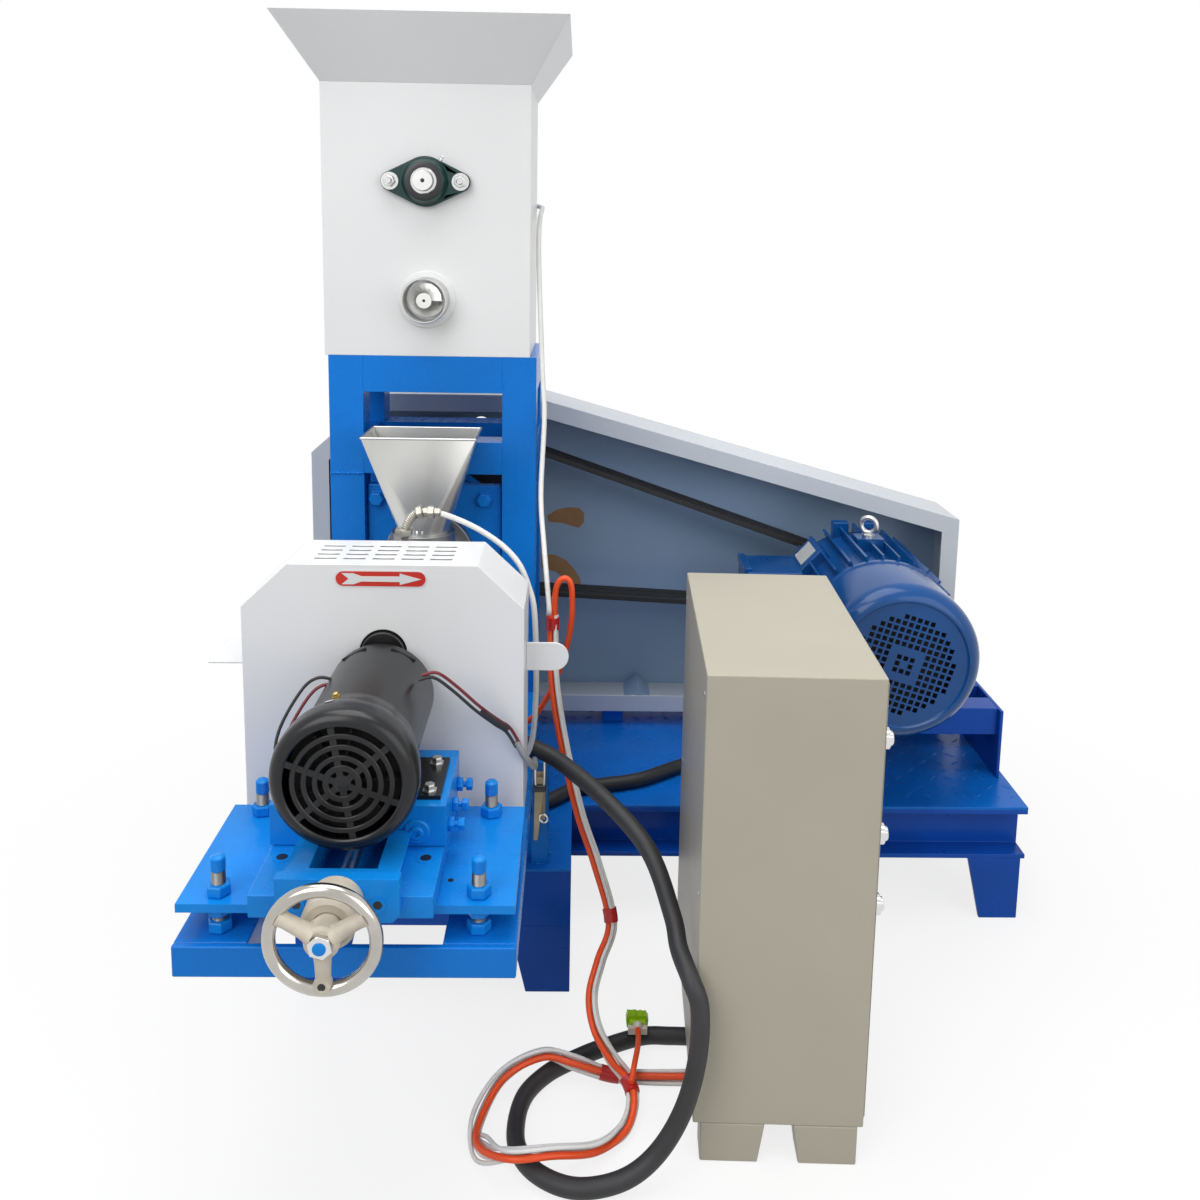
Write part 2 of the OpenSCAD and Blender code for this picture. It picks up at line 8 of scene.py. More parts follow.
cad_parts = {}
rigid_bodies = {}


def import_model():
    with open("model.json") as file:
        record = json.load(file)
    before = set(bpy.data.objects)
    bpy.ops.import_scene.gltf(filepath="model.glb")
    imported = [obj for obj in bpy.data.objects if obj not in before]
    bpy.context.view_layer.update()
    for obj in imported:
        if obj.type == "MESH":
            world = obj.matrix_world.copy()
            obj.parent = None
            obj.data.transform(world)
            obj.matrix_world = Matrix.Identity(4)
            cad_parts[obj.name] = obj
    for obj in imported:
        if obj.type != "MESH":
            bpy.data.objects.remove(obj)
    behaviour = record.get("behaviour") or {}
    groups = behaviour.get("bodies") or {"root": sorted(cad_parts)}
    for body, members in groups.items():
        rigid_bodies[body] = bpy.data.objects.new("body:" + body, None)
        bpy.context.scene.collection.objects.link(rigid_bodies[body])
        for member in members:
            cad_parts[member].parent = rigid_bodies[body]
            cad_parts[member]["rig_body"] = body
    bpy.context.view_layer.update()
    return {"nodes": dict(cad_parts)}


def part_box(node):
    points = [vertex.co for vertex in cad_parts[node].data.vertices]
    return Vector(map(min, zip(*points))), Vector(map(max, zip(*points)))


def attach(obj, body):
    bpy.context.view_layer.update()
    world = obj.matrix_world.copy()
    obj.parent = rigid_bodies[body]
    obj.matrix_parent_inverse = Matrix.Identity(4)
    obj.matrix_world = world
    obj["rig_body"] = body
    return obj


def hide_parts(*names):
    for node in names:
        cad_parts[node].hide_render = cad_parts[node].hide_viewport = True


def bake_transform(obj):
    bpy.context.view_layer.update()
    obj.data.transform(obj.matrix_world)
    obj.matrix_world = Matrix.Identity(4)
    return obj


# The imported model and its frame. Places in this file are millimetres from a datum on the machine itself:
# across from the spindle axis, back from the tower's front, and up from the floor.
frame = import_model()
nodes = frame["nodes"]
die_low, die_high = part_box("die_head")
tower_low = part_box("tower_legs")[0]
datum = np.array([(die_low.x + die_high.x) / 2, tower_low.y, 0.0])


def place(points):
    """Millimetres from the datum become metres in the part's frame: p / 1000 + datum."""
    return np.asarray(points, float) / 1000 + datum


scene = bpy.context.scene
scene.view_settings.view_transform = "Standard"

# Camera: a 33 mm lens at chest height, a little right of the spindle and tipped down 8.6 degrees.
# The lens is shifted down, so that the floor in front of the machine comes into the picture.
eye = (245, -1778, 1169)
look = np.array([0.018516, 0.988554, -0.149724])
right = np.array([0.999732, -0.016222, 0.016530])
upward = np.cross(right, look)
camera_data = bpy.data.cameras.new("photo_camera")
camera_data.lens = 33.3
camera_data.sensor_width = 36
camera_data.shift_y = -0.1625
camera = bpy.data.objects.new("photo_camera", camera_data)
turn = Matrix(np.column_stack([right, upward, -look]).tolist()).to_4x4()
camera.matrix_world = Matrix.Translation(place(eye).tolist()) @ turn
scene.collection.objects.link(camera)
scene.camera = camera


# Studio: an even white room that lights the machine at less than half of what it shows, three soft lamps,
# and a white floor that still takes the shadow and fades to plain white away from the machine.
def backdrop_rays(net):
    """A socket that is 1 for rays which show the backdrop: from the camera, off gloss or through glass."""
    paths = net.nodes.new("ShaderNodeLightPath")
    shown = paths.outputs["Is Camera Ray"]
    for label in ("Is Glossy Ray", "Is Transmission Ray"):
        either = net.nodes.new("ShaderNodeMath")
        either.operation = "MAXIMUM"
        net.links.new(shown, either.inputs[0])
        net.links.new(paths.outputs[label], either.inputs[1])
        shown = either.outputs[0]
    return shown


def spread(net, value, low, high, start=0.0, end=1.0):
    """A node that carries value from the range start to end over to the range low to high."""
    made = net.nodes.new("ShaderNodeMapRange")
    for label, number in (("From Min", start), ("From Max", end), ("To Min", low), ("To Max", high)):
        made.inputs[label].default_value = number
    net.links.new(value, made.inputs["Value"])
    return made.outputs[0]


def lamp(name, spot, aim, size, power):
    """A square area lamp at spot whose face is turned to aim."""
    data = bpy.data.lights.new(name, "AREA")
    data.size = size
    data.energy = power
    made = bpy.data.objects.new(name, data)
    away = Vector((place(spot) - place(aim)).tolist())
    facing = away.to_track_quat("Z", "Y").to_matrix().to_4x4()
    made.matrix_world = Matrix.Translation(place(spot).tolist()) @ facing
    scene.collection.objects.link(made)


world = bpy.data.worlds.new("white_room")
scene.world = world
world.use_nodes = True
room = world.node_tree
background = room.nodes["Background"]
background.inputs["Color"].default_value = (1, 1, 1, 1)
room.links.new(spread(room, backdrop_rays(room), 0.46, 1.0), background.inputs["Strength"])

lamp("key_lamp", (-1300, -2700, 2600), (200, -100, 900), 2.2, 48)
lamp("fill_lamp", (2400, -2500, 1700), (400, -100, 600), 2.4, 30)
lamp("top_lamp", (0, -300, 3500), (200, -200, 300), 2.4, 66)

floor_mesh = bpy.data.meshes.new("studio_floor")
floor_mesh.from_pydata([(-6, -6, 0), (6, -6, 0), (6, 6, 0), (-6, 6, 0)], [], [(0, 1, 2, 3)])
studio_floor = bpy.data.objects.new("studio_floor", floor_mesh)
studio_floor.location.z = -0.0005
scene.collection.objects.link(studio_floor)
floor_paint = bpy.data.materials.new("studio_floor")
floor_paint.use_nodes = True
tree = floor_paint.node_tree
matt = tree.nodes["Principled BSDF"]
matt.inputs["Roughness"].default_value = 0.8
glow = tree.nodes.new("ShaderNodeEmission")
glow.inputs["Color"].default_value = (1, 1, 1, 1)
shown = backdrop_rays(tree)
tree.links.new(spread(tree, shown, 0.32, 0.9), matt.inputs["Base Color"])
where = tree.nodes.new("ShaderNodeTexCoord")
reach = tree.nodes.new("ShaderNodeVectorMath")
reach.operation = "LENGTH"
tree.links.new(where.outputs["Object"], reach.inputs[0])
share = tree.nodes.new("ShaderNodeMath")
share.operation = "MULTIPLY"
tree.links.new(shown, share.inputs[0])
tree.links.new(spread(tree, reach.outputs["Value"], 0.80, 1.0, start=0.7, end=1.5), share.inputs[1])
blend = tree.nodes.new("ShaderNodeMixShader")
for i, socket in enumerate((share.outputs[0], matt.outputs[0], glow.outputs[0])):
    tree.links.new(socket, blend.inputs[i])
tree.links.new(blend.outputs[0], tree.nodes["Material Output"].inputs["Surface"])
floor_mesh.materials.append(floor_paint)

# Motor cable: a rubber-sheathed lead from the cabinet's bottom, over the floor, the cabinet's corner, the
# rail and the deck to the motor's terminal box, with a tapered rubber sleeve at both ends.
# Its uneven finish, two sizes of noise as a cloud mask and a fine relief, is shared by all materials.
uneven = bpy.data.node_groups.new("uneven_finish", "ShaderNodeTree")
for label, kind, value in (("Cloud Scale", "Float", 6.0), ("Grain Scale", "Float", 300.0),
                           ("Relief", "Float", 0.1), ("Stretch", "Vector", (1, 1, 1))):
    socket = uneven.interface.new_socket(label, in_out="INPUT", socket_type="NodeSocket" + kind)
    socket.default_value = value
for label, kind in (("Cloud", "Float"), ("Speck", "Float"), ("Normal", "Vector")):
    uneven.interface.new_socket(label, in_out="OUTPUT", socket_type="NodeSocket" + kind)
uneven_in = uneven.nodes.new("NodeGroupInput")
uneven_out = uneven.nodes.new("NodeGroupOutput")
where = uneven.nodes.new("ShaderNodeTexCoord")
stretch = uneven.nodes.new("ShaderNodeVectorMath")
stretch.operation = "MULTIPLY"
uneven.links.new(where.outputs["Object"], stretch.inputs[0])
uneven.links.new(uneven_in.outputs["Stretch"], stretch.inputs[1])
cloud = uneven.nodes.new("ShaderNodeTexNoise")
cloud.inputs["Detail"].default_value = 4
grain = uneven.nodes.new("ShaderNodeTexNoise")
grain.inputs["Detail"].default_value = 3
for noise, label, coords in ((cloud, "Cloud Scale", where.outputs["Object"]),
                             (grain, "Grain Scale", stretch.outputs[0])):
    uneven.links.new(coords, noise.inputs["Vector"])
    uneven.links.new(uneven_in.outputs[label], noise.inputs["Scale"])
relief = uneven.nodes.new("ShaderNodeBump")
relief.inputs["Distance"].default_value = 0.001
uneven.links.new(uneven_in.outputs["Relief"], relief.inputs["Strength"])
uneven.links.new(grain.outputs[0], relief.inputs["Height"])
for label, source in (("Cloud", cloud), ("Speck", grain), ("Normal", relief)):
    uneven.links.new(source.outputs[0], uneven_out.inputs[label])


def finish(name, colour, rough, metal=0.0, shade=0.12, cloud_scale=6.0, grain_scale=300.0, relief=0.08,
           stretch=(1, 1, 1), coat=0.0, rough_swing=0.06, specular=0.5):
    """A material whose colour and roughness drift with the cloud mask, over a fine relief."""
    made = bpy.data.materials.new(name)
    made.use_nodes = True
    net = made.node_tree
    shader = net.nodes["Principled BSDF"]
    for label, value in (("Metallic", metal), ("Specular IOR Level", specular), ("Coat Weight", coat),
                         ("Coat Roughness", 0.12)):
        shader.inputs[label].default_value = value
    skin = net.nodes.new("ShaderNodeGroup")
    skin.node_tree = uneven
    for label, value in (("Cloud Scale", cloud_scale), ("Grain Scale", grain_scale), ("Relief", relief),
                         ("Stretch", stretch)):
        skin.inputs[label].default_value = value
    ramp = net.nodes.new("ShaderNodeValToRGB")
    dark, pale = ramp.color_ramp.elements
    dark.position = 0.32
    dark.color = (*(c * (1 - shade) for c in colour), 1)
    pale.position = 0.68
    pale.color = (*(min(1, c * (1 + shade * 0.6)) for c in colour), 1)
    net.links.new(skin.outputs["Cloud"], ramp.inputs[0])
    net.links.new(ramp.outputs[0], shader.inputs["Base Color"])
    gloss = spread(net, skin.outputs["Speck"], max(0.03, rough - rough_swing), min(1, rough + rough_swing))
    net.links.new(gloss, shader.inputs["Roughness"])
    net.links.new(skin.outputs["Normal"], shader.inputs["Normal"])
    return made


def smooth_path(points, steps=8):
    """Catmull-Rom curve through the points: each stretch is a cubic of its four nearest points."""
    p = np.asarray(points, float)
    q = np.vstack([2 * p[0] - p[1], p, 2 * p[-1] - p[-2]])
    t = np.linspace(0, 1, steps, endpoint=False)[None, :, None]
    a, b, c, d = (q[i:len(q) - 3 + i, None, :] for i in range(4))
    bend = (2 * a - 5 * b + 4 * c - d) * t ** 2
    curve = 0.5 * (2 * b + (c - a) * t + bend + (3 * b - a - 3 * c + d) * t ** 3)
    return np.vstack([curve.reshape(-1, 3), p[-1:]])


def lead(name, route, diameter, material, slot, node=None, stiffness="limp", far_end="object", **facts):
    """A round lead along a route in millimetres: one open curve with a round section."""
    path = smooth_path(route)
    line = place(path)
    data = bpy.data.curves.new(name, "CURVE")
    data.dimensions = "3D"
    data.bevel_depth = diameter / 2000
    data.bevel_resolution = 5
    data.use_fill_caps = True
    spline = data.splines.new("POLY")
    spline.points.add(len(line) - 1)
    weighted = np.column_stack([line, np.ones(len(line))])
    spline.points.foreach_set("co", weighted.astype(np.float32).ravel())
    spline.use_smooth = True
    data.materials.append(material)
    made = bpy.data.objects.new(name, data)
    scene.collection.objects.link(made)
    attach(made, "machine")
    if node:
        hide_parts(node)
    return path


def frames_along(points):
    """Unit vectors along a path, level across it, and square to both."""
    along = np.gradient(np.asarray(points, float), axis=0)
    along /= np.linalg.norm(along, axis=1, keepdims=True)
    level = np.cross(along, (0.13, 0.29, 0.95))
    level /= np.linalg.norm(level, axis=1, keepdims=True)
    return along, level, np.cross(level, along)


def grid(points, closed=False):
    """Quads between neighbouring rings of a (rings, sides, 3) array; ends capped, or joined if closed."""
    rows, sides = points.shape[:2]
    here = np.arange(rows * sides).reshape(rows, sides)
    beside = np.roll(here, -1, axis=1)
    above, across = np.roll(here, -1, axis=0), np.roll(beside, -1, axis=0)
    quads = np.stack([here, beside, across, above], axis=-1)
    if closed:
        return points.reshape(-1, 3), [quads.reshape(-1, 4)]
    return points.reshape(-1, 3), [quads[:-1].reshape(-1, 4), here[:1, ::-1], here[-1:]]


def tube(path, radius, sides=14):
    """Round skin along a path: a ring of the given radius, or radii, square to it at each point."""
    path = np.asarray(path, float)
    level, steep = frames_along(path)[1:]
    angles = np.linspace(0, 2 * np.pi, sides, endpoint=False)[None, :, None]
    ring = np.cos(angles) * level[:, None, :] + np.sin(angles) * steep[:, None, :]
    return grid(path[:, None, :] + np.broadcast_to(radius, len(path))[:, None, None] * ring)


def show(name, data, material, bevel, angle):
    """An object from a mesh: smooth up to an angle in degrees, edges rounded by a width in millimetres."""
    data.shade_smooth()
    data.set_sharp_from_angle(angle=np.radians(angle))
    data.materials.append(material)
    made = bpy.data.objects.new(name, data)
    scene.collection.objects.link(made)
    if bevel:
        rounding = made.modifiers.new("rounded_edges", "BEVEL")
        rounding.width = bevel / 1000
        rounding.segments = 2
        rounding.limit_method = "ANGLE"
        rounding.angle_limit = np.radians(angle)
        rounding.harden_normals = True
    return made


def piece(name, parts, material, body="machine", swaps=(), bevel=0.0, angle=35):
    """One mesh from (points, faces) parts in millimetres, with its faces turned outwards."""
    starts = np.cumsum([0] + [len(points) for points, _ in parts])
    faces = [face for start, (_, arrays) in zip(starts, parts)
             for array in arrays for face in (array + start).tolist()]
    data = bpy.data.meshes.new(name)
    data.from_pydata(place(np.vstack([points for points, _ in parts])).tolist(), [], faces)
    work = bmesh.new()
    work.from_mesh(data)
    bmesh.ops.recalc_face_normals(work, faces=work.faces)
    work.to_mesh(data)
    work.free()
    made = show(name, data, material, bevel, angle)
    if body:
        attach(made, body)
    if swaps:
        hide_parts(*swaps)
    return made


black_sheath = finish("black_sheath", (0.020, 0.020, 0.022), 0.55, shade=0.3, cloud_scale=14,
                      grain_scale=700, relief=0.14)
motor_path = lead("motor_cable_sheath", [
    (522, -312, 44), (505, -312, 32), (480, -312, 20), (452, -311, 14), (425, -311, 13), (390, -310, 13),
    (350, -311, 13), (293, -334, 13), (250, -358, 13), (213, -385, 13), (185, -423, 13), (175, -470, 13),
    (180, -516, 13), (208, -554, 13), (255, -574, 13), (310, -572, 22), (352, -562, 48), (384, -556, 102),
    (401, -551, 169), (403, -546, 235), (392, -534, 266), (380, -500, 284), (374, -462, 305),
    (346, -402, 359), (290, -336, 395), (225, -266, 416), (184, -237, 425), (150, -196, 423),
    (112, -154, 428), (90, -128, 420), (76, -106, 390), (72, -85, 320), (84, -58, 250), (120, -36, 221),
    (165, -28, 220), (205, -8, 220), (245, 30, 220), (290, 44, 220), (361, 66, 220), (441, 120, 220),
    (530, 165, 220), (572, 192, 227), (596, 216, 262), (604, 228, 330), (605, 230, 400),
    (605, 230, 473.7)], 24, black_sheath, "cable_black", "motor_cable", stiffness="stiff")
piece("motor_cable_sleeves", [tube(motor_path[:18], np.linspace(13.4, 12.2, 18)),
                              tube(motor_path[-7:], np.linspace(12.3, 18, 7))], black_sheath)

# Control leads: one thick orange and four thin white plastic leads, taped together in red, coiled once on
# the floor. They hang from behind the cover's ear and end in the cabinet's bottom. The bundle rolls and
# loosens along its way, so the leads change places in view.
soft_plastic = dict(shade=0.08, cloud_scale=20, grain_scale=500, relief=0.04)
white_sheath = finish("white_sheath", (0.76, 0.76, 0.74), 0.42, **soft_plastic)
orange_sheath = finish("orange_sheath", (0.88, 0.085, 0.010), 0.40, **soft_plastic)
red_tape = finish("red_tape", (0.50, 0.012, 0.012), 0.35, shade=0.12, cloud_scale=60, grain_scale=600,
                  relief=0.1)
bundle_route = np.array([
    (480, -389, 54), (480, -389, 40), (470, -389, 24), (450, -388, 14), (413, -387, 10), (350, -387, 10),
    (300, -387, 14), (250, -382, 28), (206, -380, 38), (152, -408, 27), (123, -471, 12), (133, -517, 16),
    (172, -550, 36), (223, -545, 36), (278, -520, 18), (317, -483, 14), (330, -446, 26), (321, -418, 36),
    (302, -412, 58), (280, -400, 94), (273, -370, 122), (285, -335, 151), (301, -312, 196),
    (278, -280, 269), (253, -250, 329), (228, -215, 419), (212, -190, 506), (209, -168, 572),
    (209, -165, 590), (209, -165, 603)], float)
along = frames_along(bundle_route)[0]
toward = np.array(eye) - bundle_route
toward -= (toward * along).sum(axis=1, keepdims=True) * along
toward /= np.linalg.norm(toward, axis=1, keepdims=True)
beside = np.cross(along, toward)
stations = np.arange(len(bundle_route))
roll = np.interp(stations, [0, 6, 8, 10, 12, 14, 16, 19, 24, 29],
                 [0.2, 0.3, -1.1, -0.9, 1.3, 1.3, 0.4, -1.3, -1.4, -1.0])[:, None]
loose = np.interp(stations, [0, 4, 6, 9, 12, 14, 16, 17, 19, 22, 24, 27, 29],
                  [1, 1.2, 1, 1.8, 2.2, 2.0, 1, 1, 1.7, 1, 1.9, 1.2, 1])[:, None]
out = -np.cos(roll) * toward - np.sin(roll) * beside
over = np.cos(roll) * beside - np.sin(roll) * toward
floor_gap = 0.6
leads = ((-3.6, 0, 9.0), (1.0, 6.6, 5.6), (5.4, 2.9, 5.6), (5.3, -3.0, 5.6), (0.8, -6.7, 5.6))
for i, (outward, sideways, size) in enumerate(leads):
    colour, label = (white_sheath, "cable_white") if i else (orange_sheath, "cable_orange")
    strand = bundle_route + outward * out + sideways * loose * over
    strand[:, 2] = np.maximum(strand[:, 2], size / 2 + floor_gap)
    lead(f"control_lead_{i + 1}", strand, size, colour, label, None if i else "control_bundle")
bundle_path = smooth_path(bundle_route)
tape_spans = ((46, 51), (130, 137), (176, 179), (218, 231))
piece("bundle_tapes", [tube(bundle_path[first:last], 10.2) for first, last in tape_spans], red_tape)

# Single leads: the orange one turns back over the bundle's end, a white one climbs the hopper to the feeder,
# a white one leaves the heater's metal elbow, and a short orange one ends in the lime plug.
lead("orange_lead_sheath", [
    (212, -165, 603.3), (212, -165, 624), (214, -165, 645), (220, -165, 657), (228, -165, 660),
    (235, -165, 653), (238, -165, 634), (237, -164, 590), (229, -160, 545), (212, -157, 490),
    (190, -150, 445), (168, -141, 419), (150, -132, 415)], 9, orange_sheath, "cable_orange", "orange_lead")
lead("feeder_cable_sheath", [
    (203, -165, 603.3), (203, -165, 620), (193, -110, 697), (186, -60, 766), (189, -20, 882), (184, 5, 962),
    (176, 40, 1128), (175, 90, 1193), (174, 225, 1215), (171, 258, 1220), (150, 276, 1224), (110, 284, 1226),
    (62, 284, 1226)], 8, white_sheath, "cable_white", "feeder_cable", stiffness="medium", lay="hanging")
heater_path = lead("heater_cable_sheath", [
    (5, -285, 701.3), (5, -285, 740), (8, -285, 768), (20, -286, 787), (37, -288, 793), (57, -290, 790),
    (91, -290, 777), (120, -290, 761), (146, -292, 742), (166, -298, 720), (179, -303, 690),
    (187, -312, 660), (190, -310, 590), (189, -290, 520), (184, -272, 455), (172, -270, 424),
    (150, -276, 415)], 8, white_sheath, "cable_white", "heater_cable", stiffness="medium")
lead("plug_lead_sheath", [
    (327.5, -436.5, 43), (333, -410, 49), (339, -375, 45), (342, -345, 37.5), (342, -336, 36.5),
    (342, -326, 36.5)], 8, orange_sheath, "cable_orange", "plug_lead", far_end="connector",
    with_pieces=[nodes["cable_plug"]])


# Heater elbow: a ribbed metal hose that brings the white lead out through the hot hood's top.
# Three hexagon fittings hold it, one on the hood and two where the lead leaves.
def lathe(profile, spot, axis=(0, 1, 0), sides=32, closed=False, turn=0.0):
    """Rings of radius r at height h along an axis: spot + h axis + r (cos a u + sin a v)."""
    r, h = np.asarray(profile, float).T[:, :, None, None]
    axis = np.asarray(axis, float) / np.linalg.norm(axis)
    u = np.cross((1, 0, 0) if abs(axis[2]) > 0.9 else (0, 0, 1), axis)
    u = u / np.linalg.norm(u)
    a = (np.linspace(0, 2 * np.pi, sides, endpoint=False) + turn)[None, :, None]
    around = np.cos(a) * u + np.sin(a) * np.cross(axis, u)
    return grid(np.asarray(spot, float) + h * axis + r * around, closed)


satin_steel = finish("satin_steel", (0.62, 0.62, 0.61), 0.32, metal=1.0, shade=0.08, cloud_scale=20,
                     grain_scale=300, relief=0.04)
hose_metal = finish("hose_metal", (0.40, 0.38, 0.34), 0.42, metal=1.0, shade=0.15, cloud_scale=40,
                    grain_scale=400, relief=0.1)
hose = smooth_path(heater_path[:29:4], 12)
clamp = [(6.8, 0), (6.8, 5), (9.5, 6), (9.5, 14), (7, 15), (6.5, 22), (4.6, 24)]
piece("heater_elbow", [
    tube(hose, 6.0 + 0.5 * np.sin(np.arange(len(hose)) * 2.1)),
    lathe([(8, 0), (9.5, 1), (9.5, 8), (8, 9)], (24, -286.5, 789.5), (1, -0.1, 0.3), 6),
    lathe(clamp, (34, -288, 792), (1, -0.1, 0), 6),
    lathe([(12, 0), (13, 1), (13, 9), (9, 11)], (5, -285, 757), (0, 0, 1), 6)], hose_metal)


# Lime plug on the short lead: two moulded plastic halves with a stepped back, and a cream collar in two
# parts that clips round the lead where it goes in.
def prism(outline, origin, u, v, depth):
    """A flat outline in the plane of u and v, carried on square to that plane by depth."""
    u, v = np.asarray(u, float), np.asarray(v, float)
    flat = np.asarray(origin, float) + np.asarray(outline, float) @ np.stack([u, v])
    return grid(np.stack([flat, flat + depth * np.cross(u, v)]))


def block(x0, x1, y0, y1, z0, z1):
    """A box between two corners."""
    return prism([(x0, y0), (x1, y0), (x1, y1), (x0, y1)], (0, 0, z0), (1, 0, 0), (0, 1, 0), z1 - z0)


hard_plastic = dict(cloud_scale=40, grain_scale=600, relief=0.04)
lime_plastic = finish("lime_plastic", (0.33, 0.58, 0.008), 0.35, shade=0.1, **hard_plastic)
cream_plastic = finish("cream_plastic", (0.62, 0.56, 0.48), 0.4, shade=0.06, **hard_plastic)
front = dict(u=(1, 0, 0), v=(0, 0, 1))
back_half = [(-15, 0), (15, 0), (16.5, 13), (12.5, 20), (9, 18.6), (5, 20.4), (1, 19), (-3, 21), (-9, 19.8),
             (-14.5, 21), (-16.5, 12)]
front_half = [(-13, 0), (13, 0), (13.5, 9), (11, 14.5), (-11, 14.5), (-13.5, 9)]
piece("plug_halves", [prism(back_half, (342, -298, 26), depth=12, **front),
                      prism(front_half, (342, -310.4, 26), depth=7.6, **front),
                      block(331, 336, -309, -299, 46, 47), block(346, 350, -309, -299, 45.5, 46.6)],
      lime_plastic, swaps=["cable_plug"], bevel=1.2)
lead_guard = lathe([(7.4, 0), (7.4, 3), (5.4, 8), (4.6, 9)], (342, -318, 36.5), (0, -1, 0), 24)
piece("plug_collar", [block(328, 341.7, -325.6, -318, 26.4, 37), block(342.3, 356, -325.6, -318, 26.4, 37),
                      lead_guard], cream_plastic, bevel=0.8)


# Blue welded frame: channel members, slanted plate feet, tower tubes and rails, all in gloss enamel.
# Each solid is shown by a copy with its coplanar triangles joined and its edges slightly rounded.
def dress(material, *names, bevel=1.2, angle=32):
    """Copies of the named nodes' meshes in a material: doubles merged and flat triangles joined."""
    for node in names:
        source = nodes[node]
        work = bmesh.new()
        work.from_mesh(source.data)
        bmesh.ops.remove_doubles(work, verts=work.verts, dist=2e-5)
        bmesh.ops.dissolve_limit(work, angle_limit=0.01, verts=work.verts, edges=work.edges)
        data = bpy.data.meshes.new(node + "_finish")
        work.to_mesh(data)
        work.free()
        made = show(node + "_finish", data, material, bevel, angle)
        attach(made, source["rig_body"])
        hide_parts(node)


enamel = dict(grain_scale=60, relief=0.03, coat=0.06, specular=0.16)
frame_enamel = finish("frame_enamel", (0.004, 0.078, 0.44), 0.30, shade=0.16, cloud_scale=7, **enamel)
tower_enamel = finish("tower_enamel", (0.004, 0.180, 0.64), 0.28, shade=0.10, cloud_scale=5, **enamel)
dress(frame_enamel, "frame_rails", "frame_ties", "frame_feet", "motor_bed_sides", "motor_bed_ties")
dress(tower_enamel, "support_rails", "support_front", "support_posts", bevel=2.0)
dress(tower_enamel, "tower_legs", "tower_rails", bevel=0.6)
dress(tower_enamel, "bearing_housing", bevel=3.0)
# The deck's blue is a lighter copy of the frame's enamel: painted light on the deck.
deck_lit_enamel = finish("deck_lit_enamel", (0.004, 0.150, 0.60), 0.30, shade=0.14, cloud_scale=7, **enamel)
dress(deck_lit_enamel, "deck_plate", bevel=0.8)

# Checker plate: the deck's steel sheet is rolled with rows of low lens-shaped lugs, which lie at right
# angles in turn. The sheet is an L: in front of the tower it covers the left part only.
deck_top = 207
lug_pitch = 31


def lug(x, y, turn):
    """A lens on the deck: width 6.4 sqrt(1 - t^2) and height 1.4 (1 - t^2) along its length t."""
    t = np.linspace(-0.995, 0.995, 7)[:, None]
    bow = 1 - t ** 2
    run = np.array([np.cos(turn), np.sin(turn), 0])
    side = np.array([-np.sin(turn), np.cos(turn), 0])
    ridge = (x, y, deck_top) + 12 * t * run
    width = 3.2 * np.sqrt(bow) * side
    sunk = ridge - (0, 0, 0.2)
    return grid(np.stack([sunk - width, sunk + width, ridge + 1.4 * bow * (0, 0, 1)], axis=1))


lugs = [(x, y, np.pi / 4 if (i + j) % 2 else -np.pi / 4) for i, x in enumerate(range(-160, 1020, lug_pitch))
        for j, y in enumerate(range(-176, 440, lug_pitch)) if y > 16 or x < 222]
piece("deck_lugs", [lug(*spot) for spot in lugs], deck_lit_enamel, angle=60)

# Weld beads: seams at the feet of the tower's legs, a front post and the motor bed, at the deck's inner
# corner, and higher on the left leg. They were laid by hand, so they ripple, and painted over.
rng = np.random.default_rng(4)
seams = [(-159, 0, -104, 0, deck_top), (120, 0, 175, 0, deck_top), (175, 0, 175, 55, deck_top),
         (-159, 0, -159, 55, deck_top), (180, -182, 206, -182, deck_top), (206, -182, 206, -156, deck_top),
         (640, 106, 640, 300, deck_top), (1018, 106, 1018, 300, deck_top), (-159, 0, -104, 0, 782),
         (242, 46, 242, 0, deck_top)]


def weld(x0, y0, x1, y1, z):
    """A level bead: 60 rings of radius 2.1 + 0.5 sin(70 t), each moved at random by about 0.25."""
    t = np.linspace(0, 1, 60)[:, None]
    start, end = np.array([x0, y0, z]), np.array([x1, y1, z])
    path = start + (end - start) * t + rng.normal(0, 0.25, (60, 3))
    return tube(path, 2.1 + 0.5 * np.sin(t[:, 0] * 70), 8)


piece("weld_beads", [weld(*seam) for seam in seams], tower_enamel)

# Flange screws: four hexagon heads on washers, which hold the spindle's housing to the tower.
# They were painted over in blue together with the tower.
flange_screw = [(15, 0), (15, 2.5), (12.5, 3), (12.5, 11), (10.5, 13)]
piece("housing_screws", [lathe(flange_screw, (x, 16, z), (0, -1, 0), 6) for x in (-86.5, 90)
                         for z in (737, 560)], tower_enamel, bevel=0.8)

# Hopper: folded and welded white sheet with a flared top, powder coated.
# Its corners are bent, so they are round and smooth.
powder = dict(cloud_scale=3, relief=0.05)
white_coat = finish("white_coat", (0.76, 0.765, 0.77), 0.36, shade=0.04, grain_scale=420, coat=0.15, **powder)
dress(white_coat, "hopper_sides", "hopper_ends", "hopper_floor", "hopper_flare", bevel=0.7)

